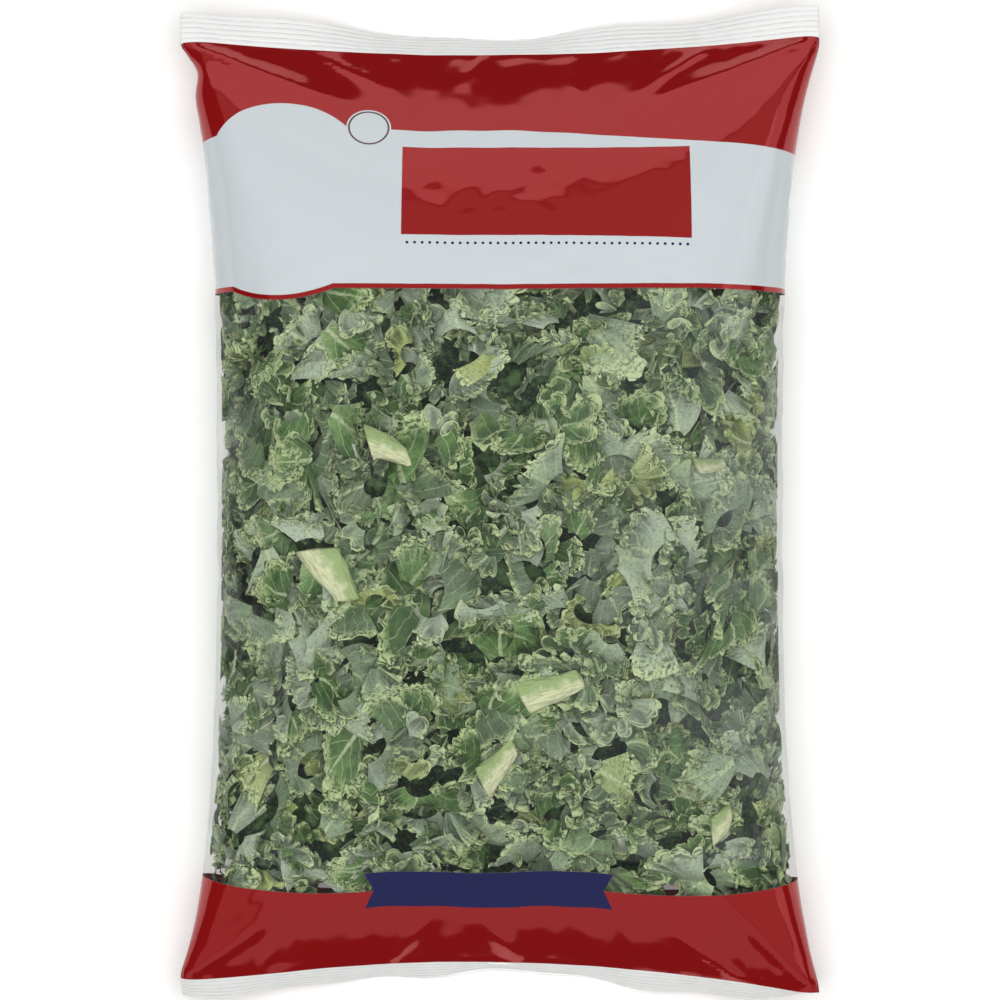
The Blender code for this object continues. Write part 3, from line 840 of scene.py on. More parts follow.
    def water(self, recipe: Recipe, place: Any, across: Any, from_side: Any) -> tuple[Any, Any]:
        """Mist and beads of water on the film's inner side, thickest near its sides.

        Args:
            recipe: The material under construction.
            place: The flat place in millimetres.
            across: Millimetres from the left side.
            from_side: Millimetres from the nearer side fold.

        Returns:
            The mist's added alpha, and the beads' own alpha.
        """
        patch = recipe.add("TexNoise", {"Vector": place, "Scale": 1.0 / self.fog_patch, "Detail": 1.0})
        patch = patch.outputs["Fac"]
        near = recipe.step(Step.RAMP, from_side, *self.fog_span, 1.0, 0.15)
        damp = recipe.step(Step.MULTIPLY, recipe.step(Step.RAMP, patch, 0.42, 0.70), near)
        cells = recipe.add("TexVoronoi", {"Vector": place, "Scale": 1.0 / self.bead_pitch, "Randomness": 1.0})
        size = recipe.add("SeparateColor", {0: cells.outputs["Color"]}).outputs[0]
        size = recipe.step(Step.MULTIPLY, size, self.bead_size)
        bead = recipe.step(
            Step.RAMP, recipe.step(Step.SUBTRACT, size, cells.outputs["Distance"]), -0.03, 0.08,
        )
        bead = recipe.step(Step.MULTIPLY, bead, recipe.step(Step.RAMP, damp, 0.10, 0.45))
        mist = recipe.step(Step.RAMP, patch, 0.25, 0.60, 0.02, 0.08)
        mist = recipe.step(Step.MULTIPLY, recipe.between(across, *self.mist_span), mist)
        fog = recipe.step(Step.MULTIPLY_ADD, damp, self.fog_alpha, mist)
        return fog, recipe.step(Step.MULTIPLY, bead, self.bead_alpha)

    def crinkle(self, recipe: Recipe, place: Any) -> Any:
        """Faint waves in the film, as a bump."""
        scale = 1.0 / self.crinkle_pitch
        broad = recipe.add("TexNoise", {"Vector": place, "Scale": scale, "Detail": 1.0, "Roughness": 0.35})
        height = {"Height": broad.outputs["Fac"], "Strength": 0.25, "Distance": self.crinkle_height}
        bump = recipe.add("Bump", height)
        return bump.outputs[0]


@dataclass(frozen=True)
class CrimpedFilm:
    """The same film where jaws welded and ribbed it: two thick white plies, no longer clear."""

    colour: str = "#FAFBF9"
    # Painted shade: the grey put into the rib grooves.
    painted_shade: str = "#CFD1CF"
    # Millimetres between the ribs and across the weld's uneven patches.
    rib_pitch: float = 14.0 / 6.0
    patch: float = 8.333333
    index: float = 1.49
    roughness: float = 0.30
    alpha: float = 0.96

    def build(self) -> bpy.types.Material:
        """Build the material, which reads its place along the strip from flat_mm."""
        recipe = Recipe("crimped_polypropylene_film")
        place = recipe.add("Attribute", attribute_name="flat_mm").outputs["Vector"]
        patch = recipe.add("TexNoise", {"Vector": place, "Scale": 1.0 / self.patch, "Detail": 4.0})
        bump = recipe.add("Bump", {"Height": patch.outputs["Fac"], "Strength": 0.2, "Distance": 1.0 * MM})
        out = recipe.add("SeparateXYZ", {0: place}).outputs[1]
        step = recipe.step(Step.FRACT, recipe.step(Step.DIVIDE, out, self.rib_pitch))
        # Painted shade: the grooves between the ribs are darkened with the grey, unevenly over the weld's
        # patches.
        groove = recipe.step(
            Step.RAMP, recipe.step(Step.ABSOLUTE, recipe.step(Step.SUBTRACT, step, 0.5)), 0.36, 0.5,
        )
        groove = recipe.step(
            Step.MULTIPLY, groove, recipe.step(Step.RAMP, patch.outputs["Fac"], 0.35, 0.60, 0.35, 1.0),
        )
        shader = recipe.add("BsdfPrincipled", {
            "Base Color": recipe.step(Step.MIX, groove, linear(self.colour), linear(self.painted_shade)),
            "Roughness": self.roughness,
            "IOR": self.index,
            "Alpha": self.alpha,
            "Normal": bump.outputs[0],
        })
        return recipe.finish(shader.outputs[0])


@dataclass(frozen=True)
class KaleSkin:
    """Curly kale leaf, washed and cut: waxy blue-green, paler at its frilled margin and veins.

    The wax bloom makes it dull rather than glossy, and water on it leaves a soft shine. Painted shade lies in
    its ruffle valleys, between crumbs and on the clump hearts, and painted highlight on its raised ruffles.
    """

    # Dark green for random grain, and also painted shade in ruffle valleys and between crumbs.
    grain_and_painted_shade: str = "#22331C"
    # Near-black green painted on the clump hearts as the shade deep between the leaves.
    painted_shadow: str = "#121B13"
    deep: str = "#40602F"
    body: str = "#64884A"
    bloom: str = "#BCC9B2"
    # The margin's paler frill colour, and also painted highlight on raised ruffles.
    frill: str = "#D2E2A6"
    vein: str = "#C9D6AA"
    old: str = "#AEB95C"
    # Plant tissue is near 1.42.
    index: float = 1.42
    roughness: float = 0.47
    # Millimetres: what leaf_place counts as 1, then the size of each pattern on the leaf.
    unit: float = 17.16
    cloud_size: float = 6.6
    crumb_size: float = 1.56
    grain_size: float = 1.0725
    warp_size: float = 7.8
    # Side veins, as a share of that unit.
    vein_pitch: float = 0.27

    def build(self) -> bpy.types.Material:
        """Build the material from leaf_place, each point's own place in its leaf, and leaf_kind."""
        recipe = Recipe("curly_kale_leaf")
        place = recipe.add("Attribute", attribute_name="leaf_place").outputs["Vector"]
        kind = recipe.add("Attribute", attribute_name="leaf_kind").outputs["Vector"]
        kind = recipe.add("SeparateXYZ", {0: kind})
        tint, under, relief = kind.outputs[0], kind.outputs[1], kind.outputs[2]
        parts = recipe.add("SeparateXYZ", {0: place})
        veins = self.veins(recipe, place, parts)
        on_leaf = recipe.step(Step.RAMP, parts.outputs[2], -0.5, 0.0)
        veins = recipe.step(Step.MULTIPLY, veins, on_leaf)
        margin = recipe.step(Step.RAMP, parts.outputs[2], 0.62, 0.95)
        # Painted shade where a ruffle lies low and painted highlight where it stands up, read from the relief
        # in leaf_kind.
        low = recipe.step(Step.RAMP, relief, 0.55, 0.10)
        high = recipe.step(Step.RAMP, relief, 0.50, 0.95)
        cloud, grain, crumb = (
            recipe.add("TexNoise", {
                "Vector": place, "Scale": self.unit / size, "Detail": detail, "Roughness": roughness,
            }).outputs["Fac"]
            for size, detail, roughness in (
                (self.cloud_size, 2.0, 0.65), (self.grain_size, 1.0, 0.5), (self.crumb_size, 2.0, 0.75),
            )
        )
        colour = recipe.step(
            Step.MIX, recipe.step(Step.RAMP, cloud, 0.3, 0.7), linear(self.deep), linear(self.body),
        )
        colour = recipe.step(
            Step.MIX, recipe.step(Step.RAMP, tint, 0.25, 0.85, 0.0, 0.55), colour, linear(self.bloom),
        )
        colour = recipe.step(Step.MIX, recipe.step(Step.MULTIPLY, under, 0.72), colour, linear(self.bloom))
        colour = recipe.step(
            Step.MIX, recipe.step(Step.RAMP, tint, 0.90, 0.97, 0.0, 0.7), colour, linear(self.old),
        )
        # Painted shade: the low parts of the ruffles are darkened.
        colour = recipe.step(Step.MIX, recipe.step(Step.MULTIPLY, low, 0.62), colour, linear(self.grain_and_painted_shade))
        speckle = recipe.step(Step.MULTIPLY, margin, recipe.step(Step.RAMP, crumb, 0.40, 0.56, 0.2, 1.0))
        # Painted highlight: raised ruffles take the frill colour, together with the pale crumbs of the
        # margin.
        tip = recipe.step(Step.MAXIMUM, speckle, recipe.step(Step.MULTIPLY, high, 0.8))
        colour = recipe.step(Step.MIX, recipe.step(Step.MULTIPLY, tip, 0.75), colour, linear(self.frill))
        colour = recipe.step(Step.MIX, recipe.step(Step.MULTIPLY, veins, 0.62), colour, linear(self.vein))
        colour = recipe.step(
            Step.MIX, recipe.step(Step.RAMP, grain, 0.45, 0.70, 0.0, 0.34), colour, linear(self.grain_and_painted_shade),
        )
        # Painted shade between the crumbs towards the margin.
        painted_crumb_shade = recipe.step(Step.RAMP, crumb, 0.50, 0.40, 0.0, 0.72)
        painted_crumb_shade = recipe.step(Step.MULTIPLY, recipe.step(Step.RAMP, parts.outputs[2], 0.45, 0.9), painted_crumb_shade)
        colour = recipe.step(Step.MIX, painted_crumb_shade, colour, linear(self.grain_and_painted_shade))
        # The hearts, where leaf_place is below zero, are painted nearly black with patches of green: painted
        # shade deep in the clumps.
        heart_painted_shade = recipe.step(
            Step.MIX,
            recipe.step(Step.RAMP, crumb, 0.46, 0.66, 0.0, 0.6),
            linear(self.painted_shadow),
            linear(self.deep),
        )
        heart_painted_shade = recipe.step(
            Step.MIX, recipe.step(Step.RAMP, cloud, 0.48, 0.66, 0.0, 0.4), heart_painted_shade, linear(self.body),
        )
        colour = recipe.step(Step.MIX, on_leaf, heart_painted_shade, colour)
        bump = recipe.add("Bump", {"Height": crumb, "Strength": 0.6, "Distance": 0.8 * MM})
        shader = recipe.add("BsdfPrincipled", {
            "Base Color": colour,
            "Roughness": self.roughness,
            "IOR": self.index,
            "Normal": bump.outputs[0],
        })
        return recipe.finish(shader.outputs[0])

    def veins(self, recipe: Recipe, place: Any, parts: bpy.types.Node) -> Any:
        """The midrib with its side veins.

        Args:
            recipe: The material under construction.
            place: The place in the leaf, in leaf lengths from where its ribs meet.
            parts: The same place as three numbers; the third is the share of the way to the margin.

        Returns:
            The mask of the veins.
        """
        warp = recipe.add("TexNoise", {"Vector": place, "Scale": self.unit / self.warp_size, "Detail": 1.0})
        warp = warp.outputs["Fac"]
        bend = recipe.step(Step.MULTIPLY_ADD, warp, 0.22, -0.11)
        beside = recipe.step(Step.ADD, parts.outputs[0], recipe.step(Step.MULTIPLY, bend, 0.5))
        beside = recipe.step(Step.ABSOLUTE, beside)
        ahead = parts.outputs[1]
        thin = recipe.step(Step.RAMP, ahead, 0.0, 1.0, 0.055, 0.012)
        rib = recipe.step(Step.RAMP, recipe.step(Step.SUBTRACT, thin, beside), -0.010, 0.014)
        slant = recipe.step(Step.MULTIPLY_ADD, beside, -0.85, recipe.step(Step.ADD, ahead, bend))
        step = recipe.step(Step.FRACT, recipe.step(Step.DIVIDE, slant, self.vein_pitch))
        off = recipe.step(Step.ABSOLUTE, recipe.step(Step.SUBTRACT, step, 0.5))
        side = recipe.step(Step.RAMP, off, 0.060, 0.010, 0.0, 0.75)
        side = recipe.step(Step.MULTIPLY, side, recipe.step(Step.RAMP, parts.outputs[2], 1.0, 0.6, 0.15, 0.8))
        return recipe.step(Step.MAXIMUM, rib, side)


@dataclass(frozen=True)
class StalkFlesh:
    """Cut kale stalk: wet cream flesh at the cuts, pale green skin with fine ribs along it."""

    flesh: str = "#E4E6BC"
    skin: str = "#A3B97C"
    index: float = 1.40
    roughness: float = 0.38
    # Millimetres: what stalk_place counts as 1, and the size of the ribs' and the skin's patches.
    unit: float = 6.0
    rib_size: float = 4.6153846
    patch_size: float = 5.4545455

    def build(self) -> bpy.types.Material:
        """Build the material from stalk_place, which runs along, across and through the stalk."""
        recipe = Recipe("kale_stalk")
        place = recipe.add("Attribute", attribute_name="stalk_place").outputs["Vector"]
        parts = recipe.add("SeparateXYZ", {0: place})
        stretched = recipe.add("Mapping", {0: place, 3: (0.5, 7.0, 7.0)})
        rib = recipe.add("TexNoise", {
            "Vector": stretched.outputs[0], "Scale": self.unit / self.rib_size, "Detail": 4.0,
        }).outputs["Fac"]
        patch = recipe.add("TexNoise", {"Vector": place, "Scale": self.unit / self.patch_size, "Detail": 3.0})
        patch = patch.outputs["Fac"]
        skin = recipe.step(Step.RAMP, recipe.step(Step.MULTIPLY_ADD, patch, 1.6, parts.outputs[1]), 0.6, 1.2)
        colour = recipe.step(Step.MIX, skin, linear(self.flesh), linear(self.skin))
        colour = recipe.step(
            Step.MIX, recipe.step(Step.RAMP, rib, 0.42, 0.66, 0.0, 0.55), colour, linear(self.skin),
        )
        bump = recipe.add("Bump", {"Height": rib, "Strength": 0.9, "Distance": 0.9 * MM})
        shader = recipe.add("BsdfPrincipled", {
            "Base Color": colour,
            "Roughness": self.roughness,
            "IOR": self.index,
            "Normal": bump.outputs[0],
        })
        return recipe.finish(shader.outputs[0])


@dataclass(frozen=True)
class StudioPaper:
    """Matt white background paper on a light table, so it stays white around the bag."""

    colour: str = "#F8F8F6"
    roughness: float = 0.85
    glow: float = 0.18

    def build(self) -> bpy.types.Material:
        """Build the material."""
        recipe = Recipe("background_paper")
        shader = recipe.add("BsdfPrincipled", {
            "Base Color": linear(self.colour),
            "Roughness": self.roughness,
            "Emission Color": linear(self.colour),
            "Emission Strength": self.glow,
        })
        return recipe.finish(shader.outputs[0])


@dataclass
class FilmBag:
    """The bag itself: its filled film, its two crimped end strips and the fin seal down its back."""

    shape: FilmShape
    columns: int = 264
    rows: int = 208
    ply: float = 0.15 * MM
    window: tuple[float, float] = (139.5, 380.0)
    strip_columns: int = 220
    ridges: int = 6
    ridge_height: float = 0.35 * MM
    tooth: float = 0.6 * MM
    fin_width: float = 11.0 * MM
    # How far each weld is drawn in: all along, at both corners, and more at the right than at the left.
    top_pull: tuple[float, float, float] = (0.9 * MM, 6.0 * MM, -1.4 * MM)
    foot_pull: tuple[float, float, float] = (-1.6 * MM, 1.9 * MM, -2.9 * MM)
    # The top left corner is pinched in below its weld: how far, how far below it and over what height.
    nip: tuple[float, float, float] = (4.5 * MM, 13 * MM, 10 * MM)
    corner_reach: float = 45.0 * MM
    # The film is lifted off the floor by this much, for the fin seal, and its top stays at its height.
    lift: float = 0.9 * MM
    height: float = 70.0 * MM
    pucker: float = 0.35 * MM
    pucker_reach: float = 14 * MM
    lump: float = 0.5 * MM
    # Near the welds the lumps fade over the first length, and what they press in over the second.
    lump_fade: float = 130 * MM
    press_fade: float = 22 * MM
    # How each strip hangs down, in degrees: at its sides, and how much more at its middle.
    top_tilt: tuple[float, float] = (4.0, 50.0)
    foot_tilt: tuple[float, float] = (46.0, 20.0)
    corner_tilt: float = 36.0
    tooth_pitch: float = 1.5 * MM
    fin_rib: float = 1.6 * MM
    # Each fold's start and end on the flat front, in millimetres from its left side and its top end, then
    # how far it stands out and how wide its flanks are.
    fold_lines: tuple[tuple[float, float, float, float, float, float], ...] = (
        (2, 16, 84, 50, 1.3, 10), (4, 20, 40, 70, 0.7, 8), (60, 17, 96, 38, 0.5, 6), (
            134, 14, 122, 36, 0.6, 7,
        ),
        (277, 16, 192, 50, 1.3, 10), (276, 20, 240, 72, 0.9, 9), (232, 15, 196, 42, 0.7, 5), (
            168, 26, 176, 44, 0.4, 6,
        ),
        (2, 433, 60, 388, 1.0, 10), (278, 433, 222, 378, 1.3, 10), (246, 434, 206, 404, 0.7, 7), (
            92, 434, 112, 402, 0.7, 8,
        ),
        (150, 434, 128, 404, 0.8, 9),
    )
    seed: int = 21

    def __post_init__(self) -> None:
        """Choose the film's ripples."""
        draw = np.random.default_rng(self.seed)
        self.lumps = Ripples(draw, 18 * MM, 60 * MM, 26)
        self.creases = Ripples(draw, 11 * MM, 40 * MM, 22)
        self.puckers = [Ripples(draw, 9 * MM, 34 * MM, 14) for _ in range(2)]
        self.waves = [Ripples(draw, 40 * MM, 130 * MM, 8), Ripples(draw, 45 * MM, 200 * MM, 8)]

    def relief(self, u: Array, v: Array) -> Array:
        """How far the film stands off its smooth shape: lumps over the kale, puckers at the welds.

        Args:
            u: Metres around the tube.
            v: Metres from the bottom end.

        Returns:
            Metres outward.
        """
        shape = self.shape
        inner = shape.length - 2 * shape.strip
        along = (v - shape.strip) / inner
        body = np.clip(np.minimum(along, 1 - along) * inner / self.press_fade, 0.0, 1.0)
        height = self.lump * (0.6 * self.lumps.at(u, v) + 0.8 * (0.5 - np.abs(self.creases.at(u, v))))
        height = height * np.clip(np.minimum(along - 0.04, 0.96 - along) * inner / self.lump_fade, 0.08, 1.0)
        for index, puckers in enumerate(self.puckers):
            far = (v - shape.strip) if index == 0 else (shape.length - shape.strip - v)
            near = np.exp(-np.clip(far, 0.0, None) / self.pucker_reach) * np.clip(far / (6 * MM), 0.0, 1.0)
            fan = puckers.at(u, far * 0.3)
            height = height + self.pucker * near * (0.65 - np.abs(fan)) * 1.6
        height = height + self.folds(u, v)
        return np.maximum(height, -0.22 * shape.room_at(u, v) * body)

    def folds(self, u: Array, v: Array) -> Array:
        """The long folds that fan out from the corners and from kinks in the welds."""
        width, height = self.shape.width, np.zeros_like(u)
        across, down = (u + 0.5 * width) % (2 * width) - 0.5 * width, self.shape.length - v
        for from_u, from_d, to_u, to_d, rise, half in self.fold_lines:
            run = np.array([to_u - from_u, to_d - from_d]) * MM
            length = float(np.hypot(*run))
            away_u, away_d = across - from_u * MM, down - from_d * MM
            along = (away_u * run[0] + away_d * run[1]) / length ** 2
            beside = np.abs(away_u * run[1] - away_d * run[0]) / length
            spread = half * MM * (0.35 + 0.9 * np.clip(along, 0.0, 1.0))
            tent = np.clip(1.0 - beside / spread, 0.0, 1.0) ** 1.3
            ends = np.clip(along / 0.08, 0.0, 1.0) * np.clip((1.0 - along) / 0.45, 0.0, 1.0)
            height = height + rise * MM * tent * ends
        return height

    def surface(self, u: Array, v: Array) -> Array:
        """The film's outer face with its relief, kept off the floor."""
        points = self.shape.place(u, v)
        normal = self.shape.outward(u, v)
        points = points + normal * self.relief(u, v)[..., None]
        width = self.shape.width
        across = (width - np.abs(u % (2 * width) - width)) / width * 2 - 1
        above, below = self.shape.length - self.shape.strip - v, v - self.shape.strip
        for far, pull, way in ((above, self.top_pull, -1.0), (below, self.foot_pull, 1.0)):
            near = np.exp(-(np.clip(far, 0.0, None) / self.corner_reach) ** 2)
            points[..., 1] += way * near * (pull[0] + pull[1] * across ** 2 + pull[2] * across)
        nip = self.nip[0] * np.exp(-((above - self.nip[1]) / self.nip[2]) ** 2)
        points[..., 0] += nip * np.clip(above / (4 * MM), 0.0, 1.0) * np.clip(-across, 0.0, 1.0) ** 6
        points[..., 2] = self.lift + np.maximum(points[..., 2], 0.0) * (1.0 - self.lift / self.height)
        return points

    def body(self, materials: Mapping[FilmZone, bpy.types.Material]) -> bpy.types.Object:
        """The filled film from weld to weld, with the clear material where nothing is printed."""
        shape = self.shape
        # The columns start in the middle of the back, where the fin seal covers their joint.
        u = (np.arange(self.columns) / self.columns - 0.25) * 2 * shape.width
        v = np.linspace(shape.strip, shape.length - shape.strip, self.rows)
        grid_u, grid_v = np.meshgrid(u, v, indexing="ij")
        points = self.surface(grid_u, grid_v)
        faces = grid_faces(self.columns, self.rows, True)
        made = build_mesh("pillow_film", points.reshape(-1, 3), faces, materials[FilmZone.PRINTED])
        made.data.materials.append(materials[FilmZone.CLEAR])
        down = (shape.length - grid_v) / MM
        store(made, "flat_mm", np.stack([grid_u / MM, down, np.zeros_like(down)], -1).reshape(-1, 3))
        height = down.reshape(-1)[faces[:, 0]]
        clear = (height > self.window[0]) & (height < self.window[1])
        made.data.polygons.foreach_set("material_index", clear.astype(np.int32))
        return made

    def strip(self, top: bool, material: bpy.types.Material) -> bpy.types.Object:
        """One crimped end strip: two plies pressed into ribs, with a fine toothed outer edge.

        Args:
            top: Whether it is the strip at the bag's top end.
            material: Its material.

        Returns:
            The strip, a closed thin slab.
        """
        shape = self.shape
        u = np.linspace(0.0, shape.width, self.strip_columns)
        out = np.linspace(-0.4 * MM, shape.strip, 5 * self.ridges + 3)
        weld_v = shape.length - shape.strip if top else shape.strip
        weld = self.surface(u, np.full_like(u, weld_v))
        weld = (weld + self.surface(2 * shape.width - u, np.full_like(u, weld_v))) / 2
        across = 2 * u / shape.width - 1
        middle = np.exp(-(across / 0.62) ** 2)
        hang = self.top_tilt if top else self.foot_tilt
        tilt = np.radians(hang[0] + hang[1] * middle)
        if not top:
            # The strip at the foot is folded under at its right corner.
            tilt = tilt + np.radians(self.corner_tilt) * np.clip((across - 0.66) / 0.34, 0.0, 1.0) ** 1.5
        tilt = tilt + (0.17 if top else 0.20) * self.waves[int(top)].at(u, 0 * u)
        pressed = np.clip(out / shape.strip, 0.0, 1.0)
        teeth = np.abs((u / self.tooth_pitch) % 1.0 - 0.5) * 2 * self.tooth
        reach = out[None, :] - teeth[:, None] * pressed[None, :] ** 8
        points = np.repeat(weld[:, None, :], len(out), axis=1)
        points[..., 1] += (1.0 if top else -1.0) * np.cos(tilt)[:, None] * reach
        points[..., 2] -= np.sin(tilt)[:, None] * reach
        rib = np.clip(1.6 * np.abs(np.sin(np.pi * self.ridges * pressed)), 0.0, 1.0)
        rib = rib * (pressed > 0.02) * (pressed < 0.98)
        points[..., 2] = np.maximum(points[..., 2], 0.5 * MM) + self.ridge_height * rib[None, :]
        thick = np.array([0.0, 0.0, self.ply])
        made_points, faces = slab(points + thick, points - thick)
        name = "top_seal" if top else "bottom_seal"
        made = build_mesh(name, made_points, faces if top else faces[:, ::-1], material)
        flat = np.stack([u[:, None] + 0 * reach, out[None, :] + 0 * reach, 0 * reach], -1) / MM
        store(made, "flat_mm", np.concatenate([flat.reshape(-1, 3)] * 2))
        return made

    def fin(self, material: bpy.types.Material) -> bpy.types.Object:
        """The fin seal: the web's two edges welded and folded flat along the back's middle line."""
        shape = self.shape
        across = np.linspace(-0.5, 0.5, 12) * self.fin_width
        v = np.linspace(shape.strip * 0.9, shape.length - shape.strip * 0.9, 180)
        grid_u, grid_v = np.meshgrid(1.5 * shape.width + across, v, indexing="ij")
        surface, outward = self.surface(grid_u, grid_v), self.shape.outward(grid_u, grid_v)
        rib = 0.06 * MM * np.sin(2 * np.pi * grid_v / self.fin_rib)
        points, faces = slab(surface + outward * (0.55 * MM + rib)[..., None], surface + outward * 0.15 * MM)
        made = build_mesh("fin_seal", points, faces, material)
        flat = np.stack([grid_u, grid_v, 0 * grid_u], -1).reshape(-1, 3) / MM
        store(made, "flat_mm", np.concatenate([flat] * 2))
        return made

    def build(
        self, films: Mapping[FilmZone, bpy.types.Material], crimped: bpy.types.Material,
    ) -> list[bpy.types.Object]:
        """Build every piece of the bag and let it stand for the CAD film.

        Args:
            films: The printed and the clear film's materials.
            crimped: The welded film's material.

        Returns:
            The pieces.
        """
        pieces = [self.body(films), self.strip(True, crimped), self.strip(False, crimped), self.fin(crimped)]
        for piece in pieces:
            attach(piece, BODY)
            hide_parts("bag_film")
        return pieces


def slab(upper: Array, lower: Array) -> tuple[Array, Array]:
    """Close two grids of points that lie over each other to one body.

    Args:
        upper: The points of the upper face, across and along.
        lower: The points of the lower face, in the same order.

    Returns:
        Its points and its faces.
    """
    wide, tall = upper.shape[:2]
    count = wide * tall
    rim = rim_loop(wide, tall)
    after = np.roll(rim, -1)
    sides = np.stack([rim, rim + count, after + count, after], -1)
    faces = np.concatenate([grid_faces(wide, tall), grid_faces(wide, tall, first=count)[:, ::-1], sides])
    return np.concatenate([upper.reshape(-1, 3), lower.reshape(-1, 3)]), faces


def rim_loop(wide: int, tall: int) -> Array:
    """The point numbers around a grid's border, in order."""
    first = np.arange(wide) * tall
    last = (wide - 1) * tall + np.arange(1, tall)
    back = np.arange(wide - 2, -1, -1) * tall + tall - 1
    down = np.arange(tall - 2, 0, -1)
    return np.concatenate([first, last, back, down])[::-1]


class LeafCut(Enum):
    """What a leaf piece was cut from."""

    BLADE = "flat blade with a frilled margin"
    FRILL = "tight frills from the leaf's edge"
    RIBBED = "blade along a thick pale rib"


@dataclass(frozen=True)
class LeafSize:
    """The sizes of one kind of leaf piece, in metres, and how strongly it ruffles."""

    radius: tuple[float, float]
    fan: tuple[float, float]
    start: tuple[float, float]
    # Each wave along the margin as its length and its height.
    waves: tuple[tuple[float, float], ...]
    power: float
    flat: float
    lean: tuple[float, float]
    bow: float


LEAF_SIZES: dict[LeafCut, LeafSize] = {
    LeafCut.BLADE: LeafSize(
        (13 * MM, 21 * MM), (0.55, 1.2), (0.20, 0.60), (
            (13 * MM, 2.0 * MM), (4.6 * MM, 1.4 * MM), (2.1 * MM, 0.6 * MM),
        ),
        2.2, 0.60, (-0.6, 1.5), 0.30,
    ),
    LeafCut.FRILL: LeafSize(
        (9 * MM, 15 * MM), (0.9, 1.9), (0.15, 0.55), (
            (8.5 * MM, 2.4 * MM), (3.7 * MM, 1.7 * MM), (1.9 * MM, 0.7 * MM),
        ),
        1.0, 0.25, (0.3, 1.9), 0.20,
    ),
    LeafCut.RIBBED: LeafSize(
        (17 * MM, 25 * MM), (0.45, 0.8), (0.10, 0.25), (
            (14 * MM, 1.8 * MM), (4.8 * MM, 1.3 * MM), (2.2 * MM, 0.5 * MM),
        ),
        2.6, 0.65, (-0.4, 1.2), 0.25,
    ),
}


